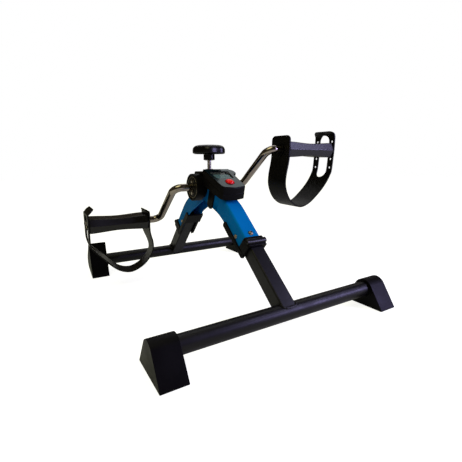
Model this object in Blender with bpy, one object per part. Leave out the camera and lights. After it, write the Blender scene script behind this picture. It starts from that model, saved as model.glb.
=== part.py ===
"""Folding pedal exerciser: two folding legs, a cranked axle with pedals, a friction brake and a counter."""
from collections import namedtuple
from math import acos, asin, atan2, cos, hypot, pi, radians, sin, sqrt, tan

import bmesh
import bpy
from mathutils import Matrix, Vector

# Clearances
GAP = 0.0003
RUNNING = 0.0003

# Sides of the round shapes: tubes and covers, rods and screws, pins and pegs, and the smallest ones
ROUND = 24
ROD_ROUND = 16
PIN_ROUND = 12
TINY_ROUND = 8

# Base bars and their end caps
BAR_RADIUS = 0.0125
BAR_WALL = 0.0015
BAR_SPREAD = 0.2108
BAR_HEIGHT = 0.0284
BASE_HALF_WIDTH = 0.202
CAP_LENGTH = 0.0343
CAP_WALL = 0.0042
CAP_FOOT_HALF = 0.0385
CAP_CORNER = 0.0015
CAP_EDGE = 0.002
CAP_SOCKET = 0.030
CAP_ARC_STEPS = 10
REAR_LEFT_CAP_TURN = radians(105.6)

# Leg tubes
LEG_SIZE = 0.025
LEG_WALL = 0.0015
LEG_CORNER = 0.0025
FRONT_SLOPE = radians(40.62)
REAR_SLOPE = radians(46.10)
FRONT_LEG_LENGTH = 0.1445
REAR_LEG_LENGTH = 0.1220

# Arms, pressed channels that hold the legs at one end and the hub at the other
ARM_SLACK = 0.0005
ARM_WALL = 0.002
ARM_CORNER = 0.004
ARM_SKIRT = 0.0035
ARM_HEADROOM = 0.0008
ARM_BEND = radians(20)
ARM_BEND_RADIUS = 0.110
ARM_BEND_STEPS = 5
ARM_MOUTH = 0.019
FRONT_ARM_DROP = 0.0048
REAR_ARM_DROP = 0.0072

# Hinge pins and stop rivets
PIN_RADIUS = 0.003
PIN_DROP = 0.004
PIN_HEAD_RADIUS = 0.004
PIN_HEAD = 0.0015
RIVET_PLACE = 0.011
RIVET_RADIUS = 0.0025
RIVET_HEAD_RADIUS = 0.0045
RIVET_HEAD = 0.0024

# Hinge collars
COLLAR_LENGTH = 0.0177
COLLAR_WALL = 0.0051
COLLAR_CHEEK = 0.0021
COLLAR_RIDGE = 0.0025
COLLAR_RIDGE_WIDTH = 0.006
COLLAR_RIDGE_SIDE = 0.001
COLLAR_CORNER = 0.003

# Lock clips
CLIP_WALL = 0.0027
CLIP_WEB = 0.026
CLIP_PLACE = 0.012
CLIP_END = 0.005
CLIP_PEG_RADIUS = 0.0022
CLIP_PEG_PLACE = 0.033
CLIP_PEG_DEPTH = 0.011

# Hub
HUB_Y = 0.0191
HUB_HEIGHT = 0.194
HUB_RADIUS = 0.0175
HUB_WALL = 0.002
HUB_HALF_LENGTH = 0.033
HOUSING_HALF_WIDTH = 0.022
HOUSING_HALF_DEPTH = 0.0202
HOUSING_TOP = 0.029
HOUSING_CORNER = 0.005
HOUSING_BRIDGE = 0.008
COVER_RADIUS = 0.025
COVER_RIM = 0.003
COVER_EDGE = 0.001
COVER_SKIRT = 0.00225
COVER_RECESS = 0.002
COVER_WALL = 0.0027
COVER_COLLAR = 0.0022
BOLT_CIRCLE = 0.0112
BOLT_RADIUS = 0.002
BOLT_HEAD_RADIUS = 0.0032
BOLT_HEAD = 0.002
BOLT_LENGTH = 0.012
BUSH_LENGTH = 0.013

# Crank
ROD_RADIUS = 0.007
ROD_BEND = 0.015
ROD_BEND_STEPS = 4
ROD_INNER_END = 0.004
CRANK_OFFSET = 0.0723
CRANK_RADIUS = 0.110
CRANK_ANGLE = radians(37.8)
DRUM_RADIUS = 0.0146
DRUM_HALF_LENGTH = 0.017
MAGNET_RADIUS = 0.002
MAGNET_LENGTH = 0.003
MAGNET_PLACE = 0.013
REED_RADIUS = 0.0013
REED_LENGTH = 0.013
WASHER_RADIUS = 0.010
WASHER_THICKNESS = 0.0015

# Brake and tension knob
BRAKE_TRAVEL = 0.0025
PAD_HALF_WIDTH = 0.008
PAD_HALF_DEPTH = 0.008
PAD_THICKNESS = 0.0046
HOLDER_THICKNESS = 0.002
SCREW_RADIUS = 0.004
NUT_FLATS = 0.0065
NUT_THICKNESS = 0.004
SCREW_SHOWN = 0.0156
KNOB_RADIUS = 0.031
KNOB_HEIGHT = 0.016
KNOB_LOBES = 6
KNOB_LOBE_DEPTH = 0.0015
KNOB_LOBE_STEPS = 4
KNOB_EDGE = 0.002
KNOB_SHOULDER = 0.0072
KNOB_DOME_SPAN = radians(87)
KNOB_DOME_STEPS = 4
KNOB_DOME_POWER = 0.4
KNOB_STEM_RADIUS = 0.0105
KNOB_STEM = 0.011
KNOB_CONE = 0.0012
KNOB_CONE_RADIUS = 0.0063

# Pedals
PEDAL_INNER = 0.1027
PEDAL_LENGTH = 0.108
PEDAL_HALF_DEPTH = 0.025
PEDAL_TREAD_HALF = 0.0205
PEDAL_HALF_HEIGHT = 0.0135
PEDAL_WAIST = 0.0024
PEDAL_EDGE = 0.0015
PEDAL_STEPS = 6
PEDAL_TILT = radians(5.5)
PEG_RADIUS = 0.002
PEG_PROUD = 0.0007
INNER_PEG_PLACE = 0.014
OUTER_PEG_PLACE = 0.0185
AXLE_BOSS_RADIUS = 0.0095
PUSH_NUT_RADIUS = 0.0083
PUSH_NUT_THICKNESS = 0.0015

# Pedal straps
STRAP_THICKNESS = 0.0025
STRAP_HALF_WIDTH = 0.025
STRAP_CORNER = 0.008
STRAP_CORNER_STEPS = 3
STRAP_CURL = ((0.0040, 0.0235), (0.0006, 0.0212))
STRAP_INNER_TOP = 0.0175
STRAP_INNER_LOW = -0.018
STRAP_SLOT_HALF = 0.011
STRAP_SLOT_LOW = -0.052
STRAP_SLOT_TOP = 0.025
STRAP_HOLE_PITCH = 0.0163
STRAP_HOLES = 4
STRAP_HOLE_RADIUS = 0.0025
STRAP_CUT_REACH = 0.0162
STRAP_TIP = ((0.1092, 0.026), (0.1065, 0.031), (0.1010, 0.0345))
STRAP_LOOP = (
    (-0.0050, -0.045),
    (-0.0040, -0.065),
    (0.0060, -0.086),
    (0.0220, -0.100),
    (0.0400, -0.105),
    (0.0600, -0.098),
    (0.0800, -0.082),
    (0.0960, -0.0645),
    (0.1065, -0.0465),
)
STRAP_OUTER_LOW = -0.032
RIGHT_STRAP_SAG = 0.105
LEFT_STRAP_SAG = 0.0965

# Counter console
CONSOLE_REAR = 0.0117
CONSOLE_HEIGHT = 0.0401
CONSOLE_TILT = radians(3.1)
CONSOLE_SIDE_LENGTH = 0.066
CONSOLE_CORNER_LENGTH = 0.072
CONSOLE_LENGTH = 0.077
CONSOLE_REAR_HALF = 0.0275
CONSOLE_FRONT_HALF = 0.024
CONSOLE_CORNER_HALF = 0.0215
CONSOLE_WALL = 0.002
CONSOLE_PARTING = 0.011
CONSOLE_FRONT_LEAN = 0.166
CONSOLE_REAR_LEAN = 0.438
CONSOLE_EDGE = 0.0015
EAR_RADIUS = 0.011
EAR_REACH = 0.0235
EAR_PLACE = 0.0135
EAR_THICKNESS = 0.009
WINDOW_REAR_HALF = 0.019
WINDOW_FRONT_HALF = 0.0155
WINDOW_REAR = 0.011
WINDOW_FRONT = 0.0395
WINDOW_THICKNESS = 0.001
WINDOW_LEDGE = 0.0015
DISPLAY_THICKNESS = 0.003
BOARD_THICKNESS = 0.0016
BOARD_HALF_WIDTH = 0.0175
BOARD_REAR = 0.013
BOARD_FRONT = 0.067
POST_RADIUS = 0.002
BUTTON_RADIUS = 0.008
BUTTON_PLACE = 0.0545
BUTTON_DOME = 0.003
BUTTON_FLANGE = 0.0012
BUTTON_TRAVEL = 0.0015
CELL_RADIUS = 0.0058
CELL_THICKNESS = 0.0054
BATTERY_PLACE = 0.052
BATTERY_COVER_RADIUS = 0.0078
BATTERY_COVER_THICKNESS = 0.0012

# Console saddle, a clamp round the front arm
SADDLE_WALL = 0.0027
SADDLE_LENGTH = 0.0195
SADDLE_FRONT = 0.0505
SADDLE_TAB = 0.0036
SADDLE_CORNER = 0.008

Side = namedtuple("Side", "name turn slope length hub_w drop")
FRONT = Side("front", 0.0, FRONT_SLOPE, FRONT_LEG_LENGTH, HUB_Y, FRONT_ARM_DROP)
REAR = Side("rear", pi, REAR_SLOPE, REAR_LEG_LENGTH, -HUB_Y, REAR_ARM_DROP)

# Sizes that follow from the ones above
LEG_HALF = LEG_SIZE / 2
ARM_INNER_HALF = LEG_HALF + ARM_SLACK
ARM_HALF = ARM_INNER_HALF + ARM_WALL
ARM_WEB_IN = LEG_HALF + ARM_HEADROOM
ARM_WEB_OUT = ARM_WEB_IN + ARM_WALL
ARM_LOW = -(LEG_HALF + ARM_SKIRT)
LEG_END_RADIUS = LEG_HALF + PIN_DROP
CLIP_INNER_HALF = ARM_HALF + GAP
CLIP_HALF = CLIP_INNER_HALF + CLIP_WALL
HUB_INNER = HUB_RADIUS - HUB_WALL
HUB_SEAT = HUB_RADIUS + GAP
ROD_BORE = ROD_RADIUS + RUNNING
PEDAL_OUTER = PEDAL_INNER + PEDAL_LENGTH
STRAP_OUTER_MID = PEDAL_LENGTH + GAP + STRAP_THICKNESS / 2
STRAP_INNER_MID = -(GAP + STRAP_THICKNESS / 2)
PEG_END = GAP + STRAP_THICKNESS + PEG_PROUD
HOLDER_TOP = HUB_RADIUS + PAD_THICKNESS + GAP + HOLDER_THICKNESS
SCREW_TIP = HOLDER_TOP + GAP
PAD_POCKET_TOP = SCREW_TIP + RUNNING * 2
STEM_END = HOUSING_TOP + GAP + NUT_THICKNESS + SCREW_SHOWN
KNOB_LOW = STEM_END + KNOB_CONE + KNOB_STEM


def clear_scene():
    """Removes every object that the scene holds."""
    for obj in list(bpy.data.objects):
        bpy.data.objects.remove(obj, do_unlink=True)


def finish_material(name, colour, roughness, metallic=0.0):
    """Returns a named Principled material."""
    material = bpy.data.materials.new(name)
    material.use_nodes = True
    shader = material.node_tree.nodes["Principled BSDF"]
    shader.inputs["Base Color"].default_value = (*colour, 1.0)
    shader.inputs["Roughness"].default_value = roughness
    shader.inputs["Metallic"].default_value = metallic
    material.diffuse_color = (*colour, 1.0)
    return material


def blue_paint():
    return finish_material("blue_paint", (0.0, 0.12, 0.42), 0.35)


def black_paint():
    return finish_material("black_paint", (0.012, 0.011, 0.016), 0.25)


def black_plastic():
    return finish_material("black_plastic", (0.012, 0.012, 0.014), 0.45)


def gloss_black():
    return finish_material("gloss_black", (0.010, 0.009, 0.012), 0.15)


def chrome():
    return finish_material("chrome", (0.75, 0.72, 0.68), 0.08, 1.0)


def steel():
    return finish_material("steel", (0.55, 0.52, 0.48), 0.3, 1.0)


def brassy_steel():
    return finish_material("brassy_steel", (0.60, 0.50, 0.32), 0.3, 1.0)


def strap_rubber():
    return finish_material("strap_rubber", (0.016, 0.016, 0.015), 0.5)


def console_grey():
    return finish_material("console_grey", (0.05, 0.075, 0.095), 0.4)


def red_plastic():
    return finish_material("red_plastic", (0.65, 0.005, 0.008), 0.3)


def clear_plastic():
    return finish_material("clear_plastic", (0.05, 0.08, 0.08), 0.05)


def display_glass():
    return finish_material("display_glass", (0.09, 0.16, 0.14), 0.2)


def board_green():
    return finish_material("board_green", (0.01, 0.13, 0.05), 0.5)


def brake_felt():
    return finish_material("brake_felt", (0.10, 0.08, 0.06), 0.9)


def arc(centre, radius, start, end, steps):
    """Points on an arc, both ends included."""
    return [
        (centre[0] + radius * cos(start + (end - start) * k / steps),
         centre[1] + radius * sin(start + (end - start) * k / steps))
        for k in range(steps + 1)
    ]


def rounded(corners, steps=3):
    """Outline through (u, v, radius) corners, each one rounded to its radius."""
    points = []
    for index, (u, v, radius) in enumerate(corners):
        here = Vector((u, v))
        if radius == 0:
            points.append((u, v))
            continue
        before = (Vector(corners[index - 1][:2]) - here).normalized()
        after = (Vector(corners[(index + 1) % len(corners)][:2]) - here).normalized()
        half = before.angle(after) / 2
        centre = here + (before + after).normalized() * radius / sin(half)
        start = here + before * radius / tan(half) - centre
        first = atan2(start.y, start.x)
        sweep = pi - 2 * half
        if before.cross(after) > 0:
            sweep = -sweep
        points += arc(centre, radius, first, first + sweep, steps)
    return points


def rectangle(u_low, u_high, v_low, v_high):
    """Corners of an upright rectangle."""
    return [(u_low, v_low), (u_high, v_low), (u_high, v_high), (u_low, v_high)]


def circle(radius, sides, centre=(0.0, 0.0)):
    """Points round a circle."""
    return arc(centre, radius, 0.0, 2 * pi * (1 - 1 / sides), sides - 1)


def along(axis, u, v, w):
    """Puts an outline point (u, v) at w along an axis."""
    if axis == "X":
        return Vector((w, u, v))
    if axis == "Y":
        return Vector((u, w, v))
    return Vector((u, v, w))


def loft(rings):
    """Skins rings of points, one joined to the next, and closes both ends."""
    bm = bmesh.new()
    loops = [[bm.verts.new(point) for point in ring] for ring in rings]
    for low, high in zip(loops, loops[1:]):
        for k in range(len(low)):
            bm.faces.new((low[k - 1], low[k], high[k], high[k - 1]))
    bm.faces.new(loops[0])
    bm.faces.new(loops[-1])
    return closed(bm)


def prism(outline, low, high, axis="X"):
    """Extrudes a flat outline from low to high along an axis."""
    bm = bmesh.new()
    face = bm.faces.new([bm.verts.new(along(axis, u, v, low)) for u, v in outline])
    extruded = bmesh.ops.extrude_face_region(bm, geom=[face])["geom"]
    moved = [item for item in extruded if isinstance(item, bmesh.types.BMVert)]
    bmesh.ops.translate(bm, verts=moved, vec=along(axis, 0.0, 0.0, high - low))
    return closed(bm)


def block(x, y, z):
    """A block between two x, two y and two z."""
    return prism(rectangle(*y, *z), x[0], x[1])


def turned(profile, sides, axis="X", centre=(0.0, 0.0)):
    """Spins a profile of (along, radius) points round an axis."""
    bm = bmesh.new()
    verts = [bm.verts.new((a, r, 0.0)) for a, r in profile]
    edges = []
    for k, vert in enumerate(verts):
        if vert.co.y > 0 or verts[k - 1].co.y > 0:
            edges.append(bm.edges.new((verts[k - 1], vert)))
    bmesh.ops.spin(bm, geom=verts + edges, cent=(0, 0, 0), axis=(1, 0, 0), angle=2 * pi,
                   steps=sides, use_merge=True)
    if axis == "Z":
        bmesh.ops.transform(bm, matrix=Matrix.Rotation(-pi / 2, 4, "Y"), verts=bm.verts)
    if axis == "Y":
        bmesh.ops.transform(bm, matrix=Matrix.Rotation(pi / 2, 4, "Z"), verts=bm.verts)
    bmesh.ops.translate(bm, verts=bm.verts, vec=along(axis, centre[0], centre[1], 0.0))
    return closed(bm)


def rod(radius, low, high, sides, axis="X", centre=(0.0, 0.0)):
    """A plain round rod."""
    return turned([(low, 0.0), (low, radius), (high, radius), (high, 0.0)], sides, axis, centre)


def ring(inner, outer, low, high, sides, axis="X"):
    """A plain ring or tube."""
    return turned([(low, inner), (low, outer), (high, outer), (high, inner)], sides, axis)


def closed(bm):
    """Merges doubled points and turns every face outwards."""
    bmesh.ops.remove_doubles(bm, verts=bm.verts, dist=1e-7)
    bmesh.ops.recalc_face_normals(bm, faces=bm.faces)
    return bm


def mirrored(bm, side):
    """Turns a right-hand shape into its left-hand one where side is -1."""
    if side < 0:
        bmesh.ops.scale(bm, vec=(-1, 1, 1), verts=bm.verts)
    return closed(bm)


def together(shapes):
    """Puts several shapes that don't touch into one."""
    whole = bmesh.new()
    for shape in shapes:
        mesh = bpy.data.meshes.new("shape")
        shape.to_mesh(mesh)
        shape.free()
        whole.from_mesh(mesh)
        bpy.data.meshes.remove(mesh)
    return whole


def make_object(name, bm, place, carrier=None):
    """Makes an object of a shape, placed in the world and parented to its carrier."""
    mesh = bpy.data.meshes.new(name)
    closed(bm).to_mesh(mesh)
    bm.free()
    obj = bpy.data.objects.new(name, mesh)
    bpy.context.collection.objects.link(obj)
    obj.parent = carrier
    obj.matrix_basis = carrier.matrix_basis.inverted() @ place if carrier else place
    return obj


def piece(name, bm, material, place=Matrix(), carrier=None):
    """Makes one named piece with its material."""
    obj = make_object(name, bm, place, carrier)
    obj.data.materials.append(material)
    obj.data.shade_smooth()
    obj.data.set_sharp_from_angle(angle=radians(32))
    return obj


def combine(obj, bm, operation, place=None):
    """Cuts, joins or trims a piece with a hidden shape."""
    tool = make_object(obj.name + "_tool", bm, place if place else world(obj))
    tool.hide_render = True
    tool.display_type = "WIRE"
    modifier = obj.modifiers.new(tool.name, "BOOLEAN")
    modifier.operation = operation
    modifier.object = tool


def cut(obj, bm, place=None):
    combine(obj, bm, "DIFFERENCE", place)


def join(obj, bm, place=None):
    combine(obj, bm, "UNION", place)


def world(obj):
    """Where an object stands, by its carrier's place and its own."""
    return obj.parent.matrix_basis @ obj.matrix_basis if obj.parent else obj.matrix_basis


def pivot(name, place):
    """An empty on a joint's axis."""
    empty = bpy.data.objects.new(name, None)
    empty.empty_display_size = 0.02
    bpy.context.collection.objects.link(empty)
    empty.matrix_basis = place
    return empty


def word(hand):
    """Name of the side that a hand stands for, +1 on the exerciser's right and -1 on its left."""
    return "right" if hand > 0 else "left"


def side_frame(side):
    """The frame in which the piece's own hub lies along +Y, for the front and the rear alike."""
    return Matrix.Rotation(side.turn, 4, "Z")


def hinge_frame(side):
    """The frame on a leg's pin: Y runs up the leg, Z out of its upper face."""
    y = -BAR_SPREAD + side.length * cos(side.slope) + PIN_DROP * sin(side.slope)
    z = BAR_HEIGHT + side.length * sin(side.slope) - PIN_DROP * cos(side.slope)
    return side_frame(side) @ Matrix.Translation((0, y, z)) @ Matrix.Rotation(side.slope, 4, "X")


def clip_frame(side):
    """The frame on a lock clip's pegs, turned as the hinge is."""
    return hinge_frame(side) @ Matrix.Translation((0, -CLIP_PEG_PLACE, PIN_DROP - CLIP_PEG_DEPTH))


def hub_frame():
    return Matrix.Translation((0, HUB_Y, HUB_HEIGHT))


def arm_frame():
    """The frame at the hub's axis that lies along the front arm's upper run."""
    return hub_frame() @ Matrix.Rotation(FRONT_SLOPE - ARM_BEND, 4, "X")


def console_frame():
    """The frame on the rear edge of the console's top, Y towards the hub and Z out of the top."""
    corner = Matrix.Translation((0, -CONSOLE_REAR, CONSOLE_HEIGHT))
    return arm_frame() @ corner @ Matrix.Rotation(CONSOLE_TILT, 4, "X")


def base_bar(side, carrier):
    """Round base bar, open inside its end caps."""
    half = BASE_HALF_WIDTH - CAP_LENGTH + CAP_SOCKET - GAP
    place = side_frame(side) @ Matrix.Translation((0, -BAR_SPREAD, BAR_HEIGHT))
    bar = ring(BAR_RADIUS - BAR_WALL, BAR_RADIUS, -half, half, ROUND)
    piece(side.name + "_base_bar", bar, black_paint(), place, carrier)


def end_cap(side, hand, carrier, turn=0.0):
    """Moulded foot with a round top and a flat sole, pushed over a bar's end and turned on it."""
    top = BAR_RADIUS + GAP + CAP_WALL
    reach = hypot(CAP_FOOT_HALF, BAR_HEIGHT)
    tangent = acos(top / reach) - atan2(BAR_HEIGHT, CAP_FOOT_HALF)
    feet = rounded([(top, 0, 0), (-top, 0, 0), (-CAP_FOOT_HALF, -BAR_HEIGHT, CAP_CORNER),
                    (CAP_FOOT_HALF, -BAR_HEIGHT, CAP_CORNER)])[2:]
    outline = arc((0, 0), top, tangent, pi - tangent, CAP_ARC_STEPS) + feet
    inner = BASE_HALF_WIDTH - CAP_LENGTH
    shape = prism(outline, inner, BASE_HALF_WIDTH)
    rim = [edge for edge in shape.edges if all(v.co.x > BASE_HALF_WIDTH - GAP for v in edge.verts)]
    bmesh.ops.bevel(shape, geom=rim, offset=CAP_EDGE, segments=2, profile=0.5, affect="EDGES")
    upright = side_frame(side) @ Matrix.Translation((0, -BAR_SPREAD, BAR_HEIGHT))
    place = upright @ Matrix.Rotation(turn, 4, "X")
    name = f"{side.name}_{word(hand * cos(side.turn))}_end_cap"
    cap = piece(name, mirrored(shape, hand), black_plastic(), place, carrier)
    socket = rod(BAR_RADIUS + GAP, inner - GAP, inner + CAP_SOCKET, ROUND)
    cut(cap, mirrored(socket, hand))


def leg(side, carrier):
    """Square leg tube, mitred round its bar and rounded about its pin."""
    place = hinge_frame(side)
    half = LEG_HALF
    outer = rounded([(-half, PIN_DROP - half, LEG_CORNER), (half, PIN_DROP - half, LEG_CORNER),
                     (half, PIN_DROP + half, LEG_CORNER), (-half, PIN_DROP + half, LEG_CORNER)], 2)
    tube = piece(side.name + "_leg", prism(outer, -side.length, LEG_END_RADIUS, "Y"),
                 black_paint(), place, carrier)
    bore = half - LEG_WALL
    hollow = rectangle(-bore, bore, PIN_DROP - bore, PIN_DROP + bore)
    cut(tube, prism(hollow, -side.length - bore, LEG_END_RADIUS + bore, "Y"))
    mitre = (BAR_RADIUS + GAP) / cos(pi / ROUND)
    cut(tube, rod(mitre, -LEG_SIZE, LEG_SIZE, ROUND, "X", (-side.length, PIN_DROP)))
    cut(tube, rod(PIN_RADIUS + RUNNING, -LEG_SIZE, LEG_SIZE, ROD_ROUND))
    end = arc((0, 0), LEG_END_RADIUS, -pi / 2, pi / 2, 12)
    beyond = 2 * LEG_END_RADIUS
    trim = end + [(0, beyond), (beyond, beyond), (beyond, -beyond), (0, -beyond)]
    cut(tube, prism(trim, -LEG_SIZE, LEG_SIZE))


def channel_section():
    """Outline of the arm's channel, open below, as (across, up) from the leg tube's centre."""
    inside = ARM_CORNER - ARM_WALL
    return rounded([
        (-ARM_HALF, ARM_LOW, 0), (-ARM_HALF, ARM_WEB_OUT, ARM_CORNER),
        (ARM_HALF, ARM_WEB_OUT, ARM_CORNER), (ARM_HALF, ARM_LOW, 0),
        (ARM_INNER_HALF, ARM_LOW, 0), (ARM_INNER_HALF, ARM_WEB_IN, inside),
        (-ARM_INNER_HALF, ARM_WEB_IN, inside), (-ARM_INNER_HALF, ARM_LOW, 0),
    ], 2)


def bend_centre(side):
    """Centre of the arm's bend in the side's own Y and Z, and how far up the leg the bend starts."""
    last = side.slope - ARM_BEND
    start = Vector((cos(side.slope), sin(side.slope)))
    final = Vector((cos(last), sin(last)))
    bar = Vector((-BAR_SPREAD, BAR_HEIGHT))
    hub = Vector((side.hub_w, HUB_HEIGHT)) - side.drop * Vector((-final.y, final.x))
    corner = (hub - bar).cross(final) / start.cross(final)
    distance = corner - ARM_BEND_RADIUS * tan(ARM_BEND / 2)
    return bar + start * distance + ARM_BEND_RADIUS * Vector((start.y, -start.x)), distance


def arm_rings(side):
    """Channel sections from the mouth, round the bend and on to the middle of the hub."""
    centre, _ = bend_centre(side)
    start = Vector((cos(side.slope), sin(side.slope)))
    final = Vector((cos(side.slope - ARM_BEND), sin(side.slope - ARM_BEND)))
    bar = Vector((-BAR_SPREAD, BAR_HEIGHT))
    stations = [(bar + start * (side.length - ARM_MOUTH), side.slope)]
    for k in range(ARM_BEND_STEPS + 1):
        angle = side.slope - ARM_BEND * k / ARM_BEND_STEPS
        up = Vector((-sin(angle), cos(angle)))
        stations.append((centre + ARM_BEND_RADIUS * up, angle))
    rings = []
    for point, angle in stations:
        up = Vector((-sin(angle), cos(angle)))
        rings.append([Vector((x, *(point + up * n))) for x, n in channel_section()])
    end = side.hub_w - GAP / 2
    rings.append([v + Vector((0, *final)) * (end - v.y) / final.x for v in rings[-1]])
    return rings


def arm(side):
    """Pressed channel arm with its pin and rivet holes, cut to the hub tube."""
    body = piece(side.name + "_arm", loft(arm_rings(side)), blue_paint(), side_frame(side))
    hinge = hinge_frame(side)
    cut(body, rod(PIN_RADIUS + RUNNING, -LEG_SIZE, LEG_SIZE, ROD_ROUND), hinge)
    web = PIN_DROP + ARM_WEB_IN
    low, high = web - ARM_WALL, web + 2 * ARM_WALL
    cut(body, rod(RIVET_RADIUS + GAP, low, high, PIN_ROUND, "Z", (0, -RIVET_PLACE)), hinge)
    cut(body, rod(HUB_SEAT, -LEG_SIZE, LEG_SIZE, ROUND), hub_frame())


def hinge_pin(side):
    """Riveted pin that carries the leg in the arm."""
    inner = ARM_HALF + GAP
    tip = inner + PIN_HEAD
    profile = [(-tip, 0), (-tip, PIN_RADIUS), (-inner - PIN_HEAD / 2, PIN_HEAD_RADIUS),
               (-inner, PIN_HEAD_RADIUS), (-inner, PIN_RADIUS)]
    profile += [(-a, r) for a, r in reversed(profile)]
    piece(side.name + "_hinge_pin", turned(profile, PIN_ROUND), brassy_steel(), hinge_frame(side))


def stop_rivet(side):
    """Domed rivet in the arm's web, whose shank ends just above the leg."""
    seat = PIN_DROP + ARM_WEB_OUT + GAP
    tip = PIN_DROP + LEG_HALF + ARM_HEADROOM / 2
    profile = [(tip, 0), (tip, RIVET_RADIUS), (seat, RIVET_RADIUS), (seat, RIVET_HEAD_RADIUS)]
    profile += [(seat + RIVET_HEAD * sin(a), RIVET_HEAD_RADIUS * cos(a))
                for a in (radians(30), radians(60))]
    profile.append((seat + RIVET_HEAD, 0))
    rivet = turned(profile, PIN_ROUND, "Z", (0, -RIVET_PLACE))
    piece(side.name + "_stop_rivet", rivet, brassy_steel(), hinge_frame(side))


def collar_section():
    """Outline of the collar round the leg, open below, as (across, up) from the pin."""
    inner = ARM_INNER_HALF - GAP / 3
    outer = inner + COLLAR_WALL
    low = PIN_DROP + ARM_LOW
    step = PIN_DROP - CLIP_PEG_DEPTH + CLIP_END + GAP
    roof = PIN_DROP + LEG_HALF + ARM_HEADROOM / 2
    top = roof + COLLAR_WALL
    cheek = inner + COLLAR_CHEEK
    return rounded([
        (-cheek, low, 0), (-cheek, step, 0), (-outer, step, 0), (-outer, top, COLLAR_CORNER),
        (outer, top, COLLAR_CORNER), (outer, step, 0), (cheek, step, 0), (cheek, low, 0),
        (inner, low, 0), (inner, roof, 0), (-inner, roof, 0), (-inner, low, 0),
    ], 2)


def hinge_collar(side):
    """Moulded collar at the arm's mouth, with a ridge across it and pegs for the lock clip."""
    mouth = -ARM_MOUTH - GAP
    collar = piece(side.name + "_hinge_collar", prism(collar_section(), mouth - COLLAR_LENGTH, mouth, "Y"),
                   black_plastic(), hinge_frame(side))
    top = PIN_DROP + LEG_HALF + ARM_HEADROOM / 2 + COLLAR_WALL
    half = ARM_INNER_HALF + COLLAR_WALL + COLLAR_RIDGE_SIDE
    middle = mouth - COLLAR_LENGTH / 2
    edge = COLLAR_RIDGE / 2
    ridge = rounded([
        (middle - COLLAR_RIDGE_WIDTH / 2, top - COLLAR_WALL / 2, 0),
        (middle + COLLAR_RIDGE_WIDTH / 2, top - COLLAR_WALL / 2, 0),
        (middle + COLLAR_RIDGE_WIDTH / 2, top + COLLAR_RIDGE, edge),
        (middle - COLLAR_RIDGE_WIDTH / 2, top + COLLAR_RIDGE, edge),
    ], 2)
    join(collar, prism(ridge, -half, half))
    inside = ARM_INNER_HALF + COLLAR_CHEEK / 2
    centre = (-CLIP_PEG_PLACE, PIN_DROP - CLIP_PEG_DEPTH)
    for hand in (-1, 1):
        peg = rod(CLIP_PEG_RADIUS, inside, CLIP_HALF + GAP, PIN_ROUND, "X", centre)
        join(collar, mirrored(peg, hand))


def lock_clip(side, carrier):
    """Swinging clip: two wings on the collar's pegs and a web that closes the channel."""
    near = CLIP_PEG_PLACE + CLIP_PLACE
    far = near + CLIP_WEB
    past_bend = max(0.0, side.length - CLIP_PEG_PLACE + far - bend_centre(side)[1])
    skirt_radius = ARM_BEND_RADIUS + ARM_LOW
    sagitta = skirt_radius - sqrt(skirt_radius ** 2 - past_bend ** 2)
    low = CLIP_PEG_DEPTH + ARM_LOW - GAP - sagitta
    high = CLIP_PEG_DEPTH - PIN_DROP - PIN_HEAD_RADIUS - RUNNING
    step = 3 * CLIP_END
    outline = arc((0, 0), CLIP_END, radians(70), radians(270), 8) + rounded([
        (near - CLIP_WALL, -CLIP_END, 0), (near, low - CLIP_WALL, 0),
        (far, low - CLIP_WALL, CLIP_WALL), (far, high, CLIP_WALL), (step, high, 0),
    ], 2)
    clip = piece(side.name + "_lock_clip", prism(outline, -CLIP_HALF, CLIP_HALF),
                 black_plastic(), clip_frame(side), carrier)
    beyond = 2 * far
    middle = [(-beyond, -beyond), (near, -beyond), (near, low), (beyond, low),
              (beyond, beyond), (-beyond, beyond)]
    cut(clip, prism(middle, -CLIP_INNER_HALF, CLIP_INNER_HALF))
    cut(clip, rod(CLIP_PEG_RADIUS + RUNNING, -2 * CLIP_HALF, 2 * CLIP_HALF, PIN_ROUND))


def pad_window(clearance):
    """The upright well that the brake pad slides in."""
    x = PAD_HALF_WIDTH + clearance
    y = PAD_HALF_DEPTH + clearance
    return block((-x, x), (-y, y), (HUB_INNER / 2, PAD_POCKET_TOP))


def hub_tube():
    """Steel tube across the arms, with a window for the brake pad."""
    tube = piece("hub_tube", ring(HUB_INNER, HUB_RADIUS, -HUB_HALF_LENGTH, HUB_HALF_LENGTH, ROUND),
                 black_paint(), hub_frame())
    cut(tube, pad_window(RUNNING + GAP / 3))


def hub_housing():
    """Moulded saddle over the hub tube that holds the brake and the counter's switch."""
    half = HOUSING_HALF_DEPTH
    top = [(half, HOUSING_TOP, HOUSING_CORNER), (-half, HOUSING_TOP, HOUSING_CORNER)]
    outline = arc((0, 0), half, -pi, 0, ROUND // 2) + rounded([(half, 0, 0), *top, (-half, 0, 0)])[1:-1]
    width = HOUSING_HALF_WIDTH
    housing = piece("hub_housing", prism(outline, -width, width), black_plastic(), hub_frame())
    cut(housing, rod(HUB_SEAT, -2 * width, 2 * width, ROUND))
    slot = ARM_HALF + GAP
    cut(housing, block((-slot, slot), (-2 * half, 2 * half), (-2 * half, HOUSING_BRIDGE)))
    cut(housing, pad_window(RUNNING + GAP / 3))
    cut(housing, rod(SCREW_RADIUS + RUNNING, HUB_RADIUS, 2 * HOUSING_TOP, ROD_ROUND, "Z"))
    reed = REED_RADIUS + GAP
    length = REED_LENGTH / 2 + GAP
    cut(housing, block((MAGNET_PLACE - reed, MAGNET_PLACE + reed), (-length, length),
                       (HUB_INNER, HUB_RADIUS + 2 * reed + GAP)))


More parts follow.
